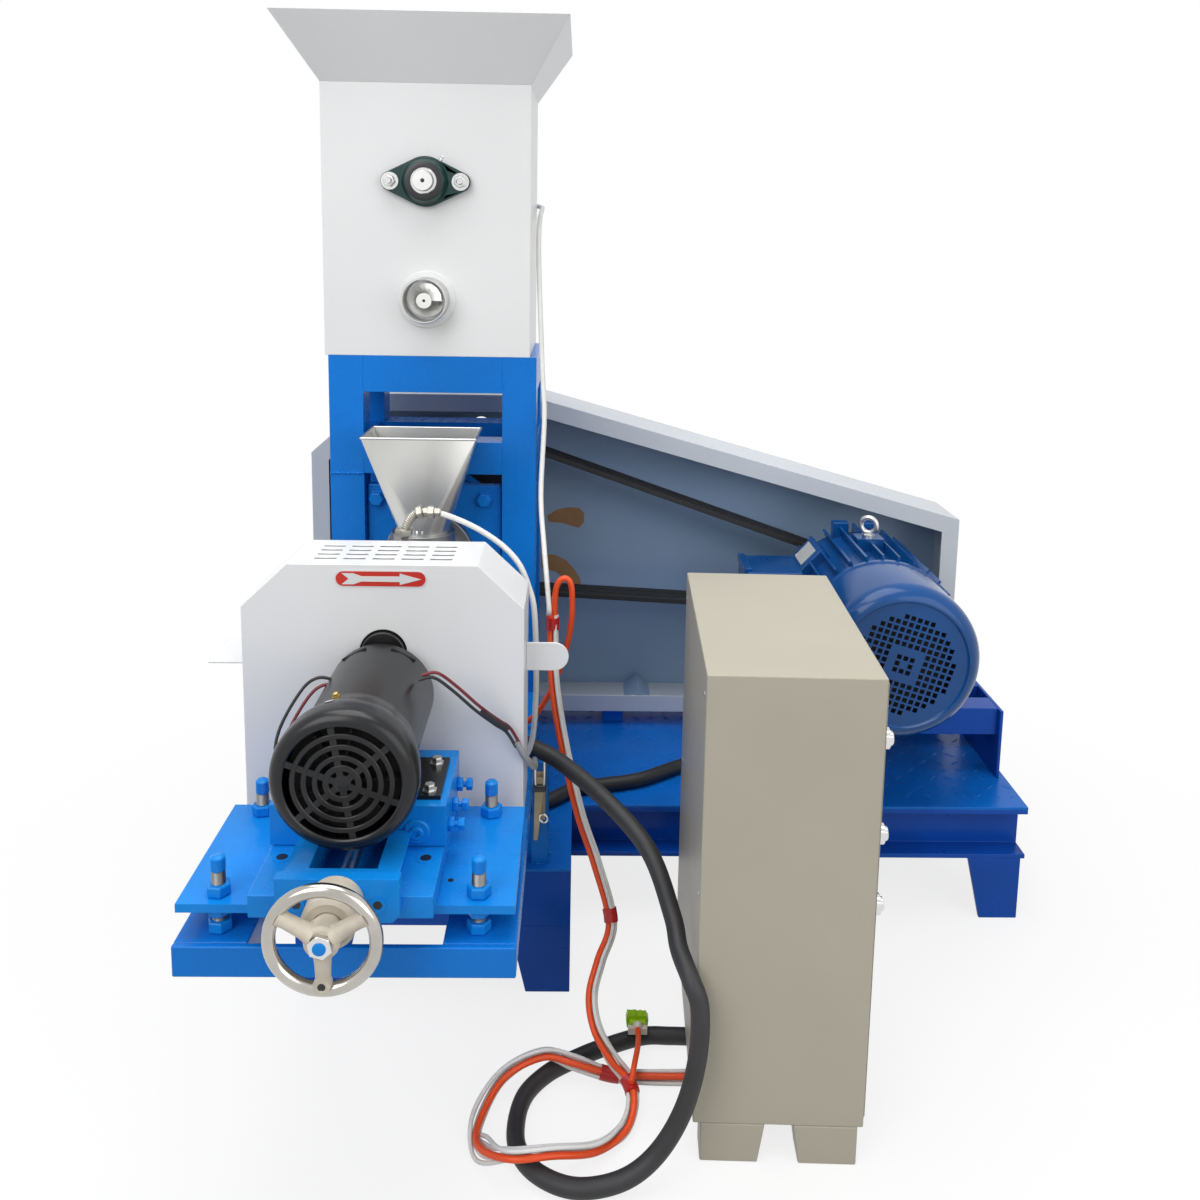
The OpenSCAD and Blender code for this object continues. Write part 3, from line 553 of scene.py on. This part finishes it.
# Agitator bearing: a cast two-screw flange unit, painted dark green, with a black seal, a bright inner ring
# and a grease nipple. Zinc-plated nuts on studs with washers hold it to the hopper's front.
bearing_paint = finish("bearing_paint", (0.006, 0.040, 0.036), 0.34, shade=0.16, cloud_scale=30,
                       grain_scale=260, relief=0.12, specular=0.35)
dress(bearing_paint, "flange_bearing", bevel=2.5)
# Black oxide of the die head, the seal and the latch roller; the same black is painted shade in the small
# holes further on.
black_oxide_and_shade = finish("black_oxide_and_shade", (0.012, 0.012, 0.013), 0.32, shade=0.2, cloud_scale=30, grain_scale=300,
                     relief=0.03)
chrome = finish("chrome", (0.70, 0.70, 0.70), 0.14, metal=1.0, shade=0.04, cloud_scale=12, grain_scale=200,
                relief=0.008, rough_swing=0.03)
turned_steel = finish("turned_steel", (0.62, 0.62, 0.61), 0.30, metal=1.0, shade=0.06, cloud_scale=12,
                      grain_scale=120, relief=0.02, stretch=(1, 8, 1))
dress(turned_steel, "agitator", bevel=1.0)
hub = (0, 0, 1250)
stud_places = [(-55, 0, 1250), (55, 0, 1250)]
seal = [(20.2, -28), (29, -28), (29, -30.8), (27, -31.4), (20.2, -31)]
# The shaft's centre hole is a thin black disc: painted shade.
shaft_centre = [(0.2, -44.2), (3.2, -44.2), (3.2, -43)]
piece("bearing_seal", [lathe(seal, hub, closed=True), lathe(shaft_centre, hub, sides=20)], black_oxide_and_shade)
inner_ring = [(15.3, -27), (15.3, -33), (16.4, -34), (19, -34), (20.1, -33), (20.1, -27)]
nipple = [(2.5, 0), (3.2, 3), (2, 5), (3, 7), (1.5, 9)]
washer = [(5.6, -13), (13.6, -13), (13.6, -15.4), (5.6, -15.4)]
piece("bearing_ring", [lathe(inner_ring, hub, sides=48, closed=True),
                       lathe(nipple, (24, -20, 1281), (0.5, 0, 0.86), 12)]
      + [lathe(washer, spot, closed=True) for spot in stud_places], chrome)
stud_nut = [(8.6, -15.4), (9.6, -16.4), (9.6, -22), (8.4, -23.6), (6, -23.6)]
piece("bearing_nuts", [lathe(stud_nut, spot, sides=6, turn=turn)
                       for spot, turn in zip(stud_places, (0.2, 0.6))], satin_steel, bevel=0.4)
stud_end = [(5.4, -23), (5.4, -28.6), (4.2, -30)]
piece("bearing_studs", [lathe(stud_end, spot, sides=20) for spot in stud_places], chrome)

# Feed outlet: a turned steel tube through a white ring on the hopper's front. The feed screw's last turn
# shows in it, with the lathe centre in its shaft.
outlet = (0, 0, 1066)
outlet_wall = [(36, 0), (36, -38.6), (35, -40), (33.4, -40), (32.4, -38.6), (32.4, 0)]
piece("outlet_tube", [lathe(outlet_wall, outlet, sides=64, closed=True)], satin_steel,
      swaps=["feed_tube"])
collar = [(36.2, 0.4), (45.6, 0.4), (45.6, -3.4), (44, -5), (36.2, -5)]
piece("outlet_ring", [lathe(collar, outlet, sides=64, closed=True)], white_coat)
screw_steel = finish("screw_steel", (0.66, 0.66, 0.64), 0.46, metal=1.0, shade=0.10, cloud_scale=20,
                     grain_scale=160, relief=0.04)
dress(screw_steel, "feed_screw", bevel=0)
# The lathe centre is a thin black disc on the shaft's end: painted shade of its hole.
piece("screw_centre", [lathe([(0.2, -38.3), (2.4, -38.3), (2.4, -37.5)], outlet, sides=20)], black_oxide_and_shade,
      "feeder")

# Feeder drive behind the hopper: a folded sheet chain box closed with six small screws, and a motor with
# nine cooling ribs, both in the tower's blue. The back isn't seen, so it is built as such machines have it.
dress(tower_enamel, "feeder_box", "feeder_motor", bevel=3.0)
cooling_rib = [(58, 0), (63, 1), (63, 3.5), (58, 4.5)]
piece("feeder_ribs", [lathe(cooling_rib, (0, y, 1126), closed=True) for y in range(330, 430, 12)],
      tower_enamel)
piece("feeder_screws", [lathe([(5, 0), (5, 3), (4, 4)], (x, 311, z), (0, 1, 0), 6)
                        for x in (-54, 54) for z in (1020, 1155, 1292)], satin_steel)

# Feed funnel: brushed stainless sheet, oblong above and round below.
# Its top edge is rolled to a round rim, and its lower end stands in the barrel.
stainless = finish("stainless", (0.60, 0.60, 0.58), 0.34, metal=1.0, shade=0.08, cloud_scale=9,
                   grain_scale=160, relief=0.06, stretch=(1, 1, 14))
dress(stainless, "feed_funnel", bevel=0.6)
rim = np.array([(-87, -110, 860), (87, -110, 860), (87, -8, 860), (-87, -8, 860), (-87, -110, 860)], float)
piece("funnel_rim", [tube(np.linspace(start, end, 8), 2.0, 10) for start, end in zip(rim[:-1], rim[1:])],
      stainless)

# Barrel and die: a thick turned steel tube with sheet heater bands clamped round it.
# The blackened die head closes it in front and comes out through a hole in the hood.
barrel_steel = finish("barrel_steel", (0.30, 0.30, 0.30), 0.40, metal=1.0, shade=0.2, cloud_scale=16,
                      grain_scale=300, relief=0.08)
dress(barrel_steel, "barrel")
dress(satin_steel, "heater_bands", bevel=0.6)
dress(black_oxide_and_shade, "die_head", bevel=2.5)

# Hood over the hot end: folded white sheet with twenty louvres stamped in its top.
# An ear on its right and a tab on its left serve as handles, to lift it off by.
dress(white_coat, "barrel_cover", "cover_handles", bevel=1.2)
hood_top = 757


def stadium(length, height, steps=10):
    """Outline of a bar with round ends: two half circles a straight stretch apart."""
    a = np.linspace(-np.pi / 2, np.pi / 2, steps)
    arc = np.column_stack([np.cos(a), np.sin(a)]) * height / 2
    shift = np.array([(length - height) / 2, 0])
    return np.vstack([arc + shift, -arc - shift])


def louvre_lip(x, y, z):
    """The raised edge of a louvre: a bar 28 long whose radius swells as a sine to 2 and sinks again."""
    swell = np.sin(np.linspace(0.35, np.pi - 0.35, 7)) * 2.0
    return tube(np.linspace((x - 14, y, z), (x + 14, y, z), 7), swell, 8)


shadow_grey = finish("shadow_grey", (0.16, 0.16, 0.165), 0.6, shade=0.1, relief=0.02)
louvres = [(-3 + 37 * i, y) for i in range(-2, 3) for y in (-342, -361, -380, -399)]
piece("louvre_slots", [prism(stadium(29, 4.6), (x, y, hood_top), (1, 0, 0), (0, 1, 0), 0.3)
                       for x, y in louvres], shadow_grey)
piece("louvre_lips", [louvre_lip(x, y + 3.4, hood_top - 0.4) for x, y in louvres], white_coat)

# Turning-direction plate: a pill of red sheet with a pale border and a white arrow.
# It is stuck on the hood's front, under the top edge.
plate_red = finish("plate_red", (0.56, 0.022, 0.012), 0.35, shade=0.08, relief=0.02)
plate_white = finish("plate_white", (0.70, 0.70, 0.70), 0.35, shade=0.04, relief=0.02)
arrow = np.array([(-49, 7.2), (-34, 7.2), (-24, 3.4), (24, 3.6), (24, 7.4), (51, 0), (24, -7.4), (24, -3.6),
                  (-24, -3.4), (-34, -7.2), (-49, -7.2), (-40, 0)])
piece("arrow_border", [prism(stadium(117, 22), (-2, -425, 739), depth=0.8, **front)], plate_white)
piece("arrow_plate", [prism(stadium(113, 19), (-2, -425.6, 739), depth=0.6, **front)], plate_red)
piece("arrow", [prism(arrow[::-1], (-2, -426, 739), depth=0.6, **front)], plate_white)


# Toggle latch on the right post: a cream pressed lever on a flat base, with a bail of bent wire.
# The bail is hung on a black roller, and a small split ring hangs beside the lever.
def wire_ring(radius, wire, steps):
    """Section of a round wire bent to a ring: (radius + wire cos a, wire sin a)."""
    a = np.linspace(0, 2 * np.pi, steps, endpoint=False)
    return np.column_stack([radius + wire * np.cos(a), wire * np.sin(a)])


latch_paint = finish("latch_paint", (0.55, 0.46, 0.28), 0.40, shade=0.15, cloud_scale=40, grain_scale=500,
                     relief=0.1)
lever = [(-9, -92), (-3, -92), (8, 4), (6, 10), (-6, 10), (-8, 4)]
piece("latch_lever", [block(185, 201, -186, -182, 282, 360),
                      prism(lever, (193, -190, 344), depth=3, **front)], latch_paint,
      swaps=["toggle_latch"], bevel=0.8)
bail = smooth_path([(187, -194, 338), (186, -196, 362), (187, -196, 388), (193, -196, 396), (199, -196, 388),
                    (200, -196, 362), (199, -194, 338)], 6)
split_ring = lathe(wire_ring(6.5, 1.5, 10), (199, -196, 290), (0.3, 1, 0), 24, True)
piece("latch_wire", [tube(bail, 1.7, 10), split_ring], satin_steel)
piece("latch_roller", [lathe([(5, 0), (6, 1), (6, 17), (5, 18)], (184, -194, 338), (1, 0, 0), 20)],
      black_oxide_and_shade)

# Levelling plate: thick blue plate on four studs, each with three painted hexagon nuts. The thread is bare
# where the nuts have moved on it.
cutter_enamel = finish("cutter_enamel", (0.005, 0.235, 0.72), 0.26, shade=0.10, cloud_scale=8,
                       grain_scale=60, relief=0.03, coat=0.08, specular=0.16)
dress(cutter_enamel, "levelling_plate", "slide_bed", "screw_end_plate", "carriage_saddle", bevel=1.5)
stud_spots = [(x, y) for x in (-142, 142) for y in (-650, -479)]
thread = np.arange(121) % 2 * 0.6
bare = np.column_stack([7.2 + thread, np.linspace(411, 480, 121)])
painted = np.vstack([np.column_stack([7.5 + thread[:30], np.linspace(480, 494.5, 30)]), [(5.8, 497)]])
nut = [(11.9, 0), (13.8, 1.6), (13.8, 11.4), (11.9, 13)]
piece("stud_threads", [lathe(bare, (x, y, 0), (0, 0, 1), 20) for x, y in stud_spots], barrel_steel,
      swaps=["levelling_studs"], angle=60)
piece("stud_tops", [lathe(painted, (x, y, 0), (0, 0, 1), 20) for x, y in stud_spots], cutter_enamel,
      angle=60)
piece("stud_nuts", [lathe(nut, (x, y, z), (0, 0, 1), 6, turn=0.1 * (x + y)) for x, y in stud_spots
                    for z in (410, 429, 452)], cutter_enamel, bevel=0.6)

# Screws of the slide: socket heads in the end plate and in the bed's flanges, and a boss on the saddle.
# Three set screws with lock nuts press the saddle's gib from the right.
plate_sockets = [(x, -710, 477.5) for x in (-42.3, 42.3)]
flange_sockets = [(x, -622, 478) for x in (-80, 80)]
plate_ring = [(5, 0), (9, 0), (9, 1.2), (5, 1.2)]
flange_ring = [(6.5, 0), (11, 0), (11, 0.6), (6.5, 0.6)]
piece("socket_rings", [lathe(plate_ring, spot, (0, -1, 0), 28, True) for spot in plate_sockets]
      + [lathe(flange_ring, spot, (0, 0, 1), 28, True) for spot in flange_sockets],
      cutter_enamel)
# Black discs in the sockets and in one small hole: painted shade of these recesses.
piece("socket_wells", [lathe([(5, 0), (5, 0.5), (0.3, 0.6)], spot, (0, -1, 0), 6) for spot in plate_sockets]
      + [lathe([(6.5, 0), (6.5, 0.3), (0.3, 0.4)], spot, (0, 0, 1), 24) for spot in flange_sockets]
      + [lathe([(3.5, 0), (3.5, 0.2), (0.3, 0.3)], (108, -623, 452), (0, 0, 1), 20)],
      black_oxide_and_shade)
boss = [(15, 0), (15, 2), (13, 3.4), (8, 3.4), (8, 6), (6.8, 7), (3.6, 7), (3.6, 4.5), (0.3, 4.4)]
piece("saddle_boss", [lathe(boss, (67, -599, 497), (0, -1, 0), 32)], cutter_enamel,
      "carriage")
set_screw = [(8, 0), (8.6, 0.8), (8.6, 6), (8, 6.8), (3.6, 6.8), (3.6, 11), (7, 11), (7.6, 12), (7.6, 18),
             (6.6, 19)]
piece("gib_screws", [lathe(set_screw, (100, y, 493), (1, 0, 0), 6, turn=0.4 * i)
                     for i, y in enumerate((-480, -530, -575))],
      cutter_enamel, "carriage", bevel=0.5)


# Lead screw and handwheel: a cast three-spoke wheel with a polished rim, cream spokes and hub, held by a nut
# on the screw's end; behind it a cream bearing boss on the end plate.
def radial(angle):
    """The unit vector cos a across and sin a up, square to the spindle."""
    return np.array([np.cos(angle), 0, np.sin(angle)])


dress(turned_steel, "lead_screw", bevel=0)
cast_cream = finish("cast_cream", (0.62, 0.56, 0.46), 0.42, shade=0.24, cloud_scale=24, grain_scale=260,
                    relief=0.14)
# The rim is polished chrome; the warm, darker tint of its metal is a painted reflection.
rim_metal = finish("rim_metal", (0.50, 0.48, 0.44), 0.17, metal=1.0, shade=0.14, cloud_scale=26,
                   grain_scale=300, relief=0.05)
axle = (0, -775, 482)
grip_hole = (0, -775, 437)
piece("wheel_rim", [lathe(wire_ring(53, 7, 20), axle, sides=72, closed=True)], rim_metal,
      "wheel", swaps=["handwheel"])
reach = np.linspace(12, 50, 12)[:, None]
girth = np.linspace(9.0, 7.2, 12) + 2.2 * np.linspace(-1, 1, 12) ** 4
spokes = [tube(np.array(axle) + reach * radial(angle) + (0, 0.01, 0), girth, 16)
          for angle in np.radians([-90, 30, 150])]
wheel_hub = [(15, -8), (18, -5), (18, 12), (16, 16), (14.8, 17), (14.8, 32)]
grip_boss = [(8.6, -8.6), (9, -7), (9, 2)]
piece("wheel_spokes", spokes + [lathe(wheel_hub, axle, sides=40), lathe(grip_boss, grip_hole, sides=24)],
      cast_cream, "wheel")
piece("wheel_nut", [lathe([(11.2, -15), (13, -13.8), (13, -8), (11, -7.6)], axle, sides=6, turn=0.3)],
      chrome, "wheel", bevel=0.5)
piece("wheel_screw_end", [lathe([(6.8, -14), (6.8, -15.6), (5.8, -16)], axle, sides=20)], cutter_enamel,
      "wheel")
# A black disc in the wheel's grip hole: painted shade.
piece("wheel_hole", [lathe([(4, -8.5), (4, -8.8), (0.3, -8.9)], grip_hole, sides=20)], black_oxide_and_shade,
      "wheel")
screw_bearing = [(15.8, -754), (24, -754), (28.4, -749.6), (28.4, -710.2), (15.8, -710.2)]
piece("screw_boss", [lathe(screw_bearing, (0, 0, 482), sides=48, closed=True)], cast_cream)

# Cutter motor: a drawn steel shell in satin black on two foot angles. Its fan cover is a pressed bell with
# ring slots and six spokes; a brass earth screw and a plain paper dot sit behind its edge.
satin_black = finish("satin_black", (0.009, 0.0095, 0.011), 0.26, shade=0.2, cloud_scale=12, grain_scale=90,
                     relief=0.006, coat=0.04, rough_swing=0.03, specular=0.35)
dress(satin_black, "cutter_motor_body", bevel=3.0)
dress(satin_steel, "cutter_knife", bevel=0.6)
fan_face = (0, -678, 594)
bell = [(66.3, 82), (67.6, 81), (68.2, 72), (73, 56), (78, 40), (80, 28), (80, 13), (78.4, 7), (74.5, 2.4),
        (69, 0), (64.8, 0), (63.2, 1.4), (63.2, 4.6), (68, 5), (75.5, 14), (75.5, 40), (66.3, 58)]
piece("fan_bell", [lathe(bell, fan_face, sides=72, closed=True)], satin_black, "carriage",
      swaps=["cutter_fan_cover"])
grille = [lathe([(r0, 4.6), (r0, 1.8), (r0 + 0.9, 0.9), (r1 - 0.9, 0.9), (r1, 1.8), (r1, 4.6)], fan_face,
                sides=64, closed=True) for r0, r1 in ((50, 56), (38, 44), (26, 32), (14, 21))]
grille.append(lathe([(0.3, 0.7), (7, 0.8), (9.6, 2), (9.6, 4.6)], fan_face, sides=40))
spoke = [(8, -3.6), (65, -3.6), (65, 3.6), (8, 3.6)]
for way in map(radial, np.radians([100, 40, -20, -80, -140, -200])):
    grille.append(prism(spoke, np.array(fan_face) + (0, 4.6, 0), way, np.cross((0, -1, 0), way), 3.2))
piece("fan_grille", grille, satin_black, "carriage")
# A matt black: the fan wheel's own colour, and painted shade in the vent slots and inside the main motor's
# cowl.
fan_black_and_shade = finish("fan_black_and_shade", (0.004, 0.004, 0.004), 0.8, shade=0.1, relief=0.02)
blade = [(18, 0), (58, 0), (58, 14), (18, 14)]
fan = [lathe([(62, 26), (62, 30), (0.3, 30)], fan_face, sides=48)]
for way in map(radial, np.linspace(0, 2 * np.pi, 9, endpoint=False)):
    fan.append(prism(blade, np.array(fan_face) + (0, 10, 0), way, (0, 1, 0), 2.4))
piece("fan_wheel", fan, fan_black_and_shade, "carriage")
brass = finish("brass", (0.62, 0.44, 0.14), 0.25, metal=1.0, shade=0.1, relief=0.03)
earth_screw = [(5, 0), (5, 1), (3.6, 1.4), (3.6, 4), (2.6, 5)]
piece("earth_screw", [lathe(earth_screw, (-21, -600, 658.2), (-0.32, 0, 0.95), 6)], brass,
      "carriage")
dot = [(5.2, 0), (5.2, 0.5), (0.3, 0.6)]
piece("paper_dot", [lathe(dot, (-20.2, -638, 669.3), (-0.25, 0.28, 0.92), 24)], plate_white,
      "carriage")
# The vent slots are dark strips on the shell: painted shade of the openings.
slots = []
for way in map(radial, np.radians([62, 118])):
    middle = np.array((0, -456, 594)) + 65.0 * way
    for across in (np.cross((0, 1, 0), way), np.cross(way, (0, 1, 0))):
        slots.append(prism(stadium(34, 4), middle, across, (0, 1, 0), -1.3))
piece("vent_slots", slots, fan_black_and_shade, "carriage")
foot_screw = [(9, 0), (9, 1.4), (6.5, 1.6), (6.5, 7), (5.5, 8)]
piece("foot_screws", [lathe(foot_screw, (x, y, 533), (0, 0, 1), 6) for x in (-78, 78) for y in (-572, -505)],
      satin_steel, "carriage")

# Cutter leads: red and black wires from both sides of the motor. The right pair is spliced in black tape and
# runs in a grey sleeve past the hood's edge to the rail.
red_wire = finish("red_wire", (0.16, 0.010, 0.018), 0.45, shade=0.1, relief=0.03)
grey_sleeve = finish("grey_sleeve", (0.30, 0.30, 0.31), 0.45, shade=0.08, relief=0.05)
pair = smooth_path([(58, -500, 640), (76, -498, 642), (98, -486, 620), (124, -474, 590), (146, -452, 562),
                    (160, -440, 546), (172, -436, 524)])
sleeve = smooth_path([(170, -436, 528), (180, -433, 508), (187, -420, 492), (190, -380, 466),
                      (190, -320, 438), (187, -262, 418)])
for name, parts, colour in (("cutter_wire_red", [tube(pair + (2, 1, 2.6), 2.0, 10)], red_wire),
                            ("cutter_wire_black", [tube(pair + (-2, -1, -2.6), 2.0, 10),
                                                   tube(pair[26:40], 4.6, 12)], black_sheath),
                            ("cutter_sleeve", [tube(sleeve, 4.4, 12)], grey_sleeve)):
    made = piece(name, parts, colour, body=None)
    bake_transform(made)
loop = smooth_path([(-40, -496, 630), (-60, -499, 634), (-78, -505, 622), (-100, -520, 584),
                    (-104, -535, 556), (-92, -540, 533)])
piece("left_wire_black", [tube(loop + (-5, 0, 4), 2.0, 10)], black_sheath, "carriage")
piece("left_wire_red", [tube(loop + (4, -4, -3), 2.0, 10)], red_wire, "carriage")

# Main motor: a cast blue housing with cooling fins, a bare name plate on a flat between them, a lifting eye
# on its boss, and feet screwed to the bed.
motor_enamel = finish("motor_enamel", (0.003, 0.064, 0.24), 0.22, shade=0.14, cloud_scale=8, grain_scale=60,
                      relief=0.02, coat=0.3, specular=0.2)
dress(motor_enamel, "main_motor_body", bevel=1.0)
dress(motor_enamel, "main_motor_terminal_box", bevel=4.0)
motor_x, motor_z = 776, 491
middle = np.array([motor_x, 240, motor_z])
away = np.array([-0.73, 0, 0.683])
upon = np.array([0.683, 0, 0.73])
flat = dict(u=upon, v=(0, 1, 0))
flat_pad = [(-30, -48), (30, -48), (30, 44), (-30, 44)]
piece("name_flat", [prism(flat_pad, middle + 116 * away, depth=24, **flat),
                    block(733, 763, 276, 298, 598, 637), block(789, 819, 276, 298, 598, 637),
                    block(552, 566, 180, 280, 560, 574)], motor_enamel, bevel=2.0)
plate_metal = finish("plate_metal", (0.60, 0.60, 0.58), 0.38, metal=0.3, shade=0.05, relief=0.02)
plate_spot = middle + 140 * away
piece("name_plate", [prism([(-19, -30), (19, -30), (19, 30), (-19, 30)], plate_spot, depth=0.8, **flat)]
      + [lathe([(2, 0), (2, 1.6), (1, 2.2)], plate_spot + s * 16 * upon + (0, t, 0), away, 12)
         for s in (-1, 1) for t in (-27, 27)], plate_metal)
eye_foot = [(11, 0), (11, 4), (6, 6), (6, 9)]
piece("lifting_eye", [lathe(wire_ring(14, 4.6, 14), (motor_x, 184, 657), (0.55, 1, 0), 40, True),
                      lathe(eye_foot, (motor_x, 184, 636), (0, 0, 1), 24)], satin_steel)
motor_screw = [(16, 0), (16, 2.4), (11, 2.6), (11, 10), (9, 11.6)]
piece("motor_foot_screws", [lathe(motor_screw, (motor_x + s * 112, y, 353), (0, 0, 1), 6)
                            for s in (-1, 1) for y in (134, 246)], satin_steel)

# Fan cover of the main motor: a drawn sheet bell with a rounded edge and a raised band at its back.
# Square holes are punched in its face in a tilted lattice; a black disc behind them is painted shade for the
# fan space.
cowl = (motor_x, -75, motor_z)
cowl_wall = [(128, 156), (131, 154), (131, 30), (129.6, 20), (125, 11), (117, 4), (110, 0.6), (107, 0.8),
             (105.6, 3), (104, 4.4), (98, 4.4), (98, 6.4), (105, 7), (122, 16), (127, 30), (127, 156)]
cowl_band = [(131, 140), (133.4, 141), (133.4, 150), (131, 151)]
piece("motor_cowl", [lathe(profile, cowl, sides=96, closed=True) for profile in (cowl_wall, cowl_band)],
      motor_enamel, swaps=["main_motor_fan_cover"])


def punched(kept, lines, origin, u, v, depth):
    """A sheet of the kept cells between two equal sets of lines, walled along its holes and its edge."""
    n = len(lines)
    across, up = np.meshgrid(lines, lines, indexing="ij")
    flat = np.asarray(origin, float) + across[..., None] * u + up[..., None] * v
    points = np.stack([flat, flat + depth * np.cross(u, v)]).reshape(-1, 3)
    index = np.arange(2 * n * n).reshape(2, n, n)
    corner = np.stack([index[:, :-1, :-1], index[:, 1:, :-1], index[:, 1:, 1:], index[:, :-1, 1:]], axis=-1)
    quads = [corner[0][kept], corner[1][kept]]
    around = np.pad(kept, 1)
    for side, (dx, dy) in enumerate(((0, -1), (1, 0), (0, 1), (-1, 0))):
        bare = kept & ~around[1 + dx:n + dx, 1 + dy:n + dy]
        edge = corner[:, bare][..., [side, (side + 1) % 4]]
        quads.append(np.concatenate([edge[0], edge[1][:, ::-1]], axis=-1))
    used, order = np.unique(np.vstack(quads), return_inverse=True)
    return points[used], [order.reshape(-1, 4)]


tilt = np.radians(-17)
right_way = radial(tilt)
up_way = np.array([-np.sin(tilt), 0, np.cos(tilt)])
hole_pitch, hole_width = 11.2, 7.8
holes_reach, sheet_reach = 84, 102.5
steps = np.arange(-9, 10)
lines = (steps[:, None] * hole_pitch + (-hole_width / 2, hole_width / 2)).ravel()
column, row = np.meshgrid(steps, steps, indexing="ij")
square = np.maximum(abs(column), abs(row))
holes = (np.hypot(column, row) * hole_pitch < holes_reach) & (square != 0) & (square != 2)
centres = (lines[:-1] + lines[1:]) / 2
kept = np.hypot(*np.meshgrid(centres, centres, indexing="ij")) < sheet_reach
kept[::2, ::2] &= ~holes
piece("cowl_lattice", [punched(kept, lines, np.array(cowl) + (0, 6.2, 0), right_way, up_way, 1.7)],
      motor_enamel)
# A black disc inside the cowl: painted shade of the fan space behind the holes.
piece("cowl_inside", [lathe([(126, 26), (126, 30), (0.3, 30)], cowl, sides=64)], fan_black_and_shade)

# Belt guard: folded pale sheet with a lip towards the operator, open in front, with a folded gusset on its
# floor. Two leaf-shaped vents in its back are closed with tan felt.
# Pale grey sheet; the blue tint in its colour is a painted reflection of the blue frame.
guard_coat = finish("guard_coat", (0.55, 0.59, 0.64), 0.36, shade=0.07, grain_scale=360, coat=0.1, **powder)
dress(guard_coat, "guard_rim", "guard_lip", bevel=0.8)
dress(deck_lit_enamel, "guard_feet", bevel=0.8)
# The back plate and gusset use the guard's grey made darker and bluer: painted shade and a painted reflection
# of the blue frame.
guard_shade_and_reflection = finish("guard_shade_and_reflection", (0.30, 0.43, 0.60), 0.36, shade=0.07, cloud_scale=3, grain_scale=360,
                   relief=0.03)
dress(guard_shade_and_reflection, "guard_back_plate", bevel=0.8)
piece("guard_gusset", [prism([(344, 241), (398, 241), (373, 266)], (0, 440, 0), depth=92, **front)],
      guard_shade_and_reflection, bevel=0.8)
felt = finish("felt", (0.40, 0.22, 0.10), 0.9, shade=0.15, cloud_scale=30, grain_scale=700, relief=0.3)
leaves = ([(181, 600), (202, 613), (224, 618), (247, 617), (258, 606), (258, 588), (248, 575), (232, 579),
           (212, 585), (185, 587)],
          [(171, 518), (198, 517), (221, 506), (238, 488), (251, 467), (254, 451), (241, 449), (224, 464),
           (201, 480), (171, 490)])
piece("vent_felts", [prism(leaf[::-1], (0, 449, 0), depth=0.4, **front) for leaf in leaves], felt)
piece("guard_screws", [lathe([(5, 0), (5, 1.6), (3.4, 3)], (x, 313.2, 256), (0, -1, 0), 20)
                       for x in (-180, 250, 420, 590)], satin_steel)

# Drive: rubber V-belts round a large and a small cast-iron pulley.
# The large pulley sits on the spindle and the small one on the motor's shaft.
belt_rubber = finish("belt_rubber", (0.016, 0.016, 0.016), 0.62, shade=0.2, cloud_scale=20, grain_scale=500,
                     relief=0.1)
dress(belt_rubber, "drive_belts", bevel=1.0, angle=40)
pulley_iron = finish("pulley_iron", (0.06, 0.06, 0.065), 0.42, metal=0.7, shade=0.2, cloud_scale=14,
                     grain_scale=400, relief=0.08)
dress(pulley_iron, "large_pulley", "small_pulley")

# Control cabinet: folded beige sheet with a fine-grained coat, on two slanted feet.
# Three chrome switches sit on its right side, and six small screws on its left.
beige_coat = finish("beige_coat", (0.445, 0.415, 0.335), 0.42, shade=0.05, grain_scale=520,
                    specular=0.25, **powder)
dress(beige_coat, "cabinet_body", "cabinet_door", "cabinet_feet", bevel=2.0)
side_way = (0.9994, -0.0349, 0)
switch = [(15, 0), (15, 2), (13.4, 3), (13.4, 8.6), (12.4, 9.4), (10, 9.4), (9.6, 8.4), (9, 8.4), (9, 12.6),
          (7.6, 14), (0.4, 14)]
piece("cabinet_switches", [lathe(switch, (623, -491.7, z), side_way, 40) for z in (564, 438, 342)], chrome,
      swaps=["cabinet_buttons"])
screw_head = [(3.2, 0), (3.2, 0.8), (1.6, 1.6)]
piece("cabinet_screws", [lathe(screw_head, (402 + 0.0349 * d, -518 + d, z), (-1, 0, 0), 14)
                         for d in (24, 386) for z in (90, 355, 620)], satin_steel)
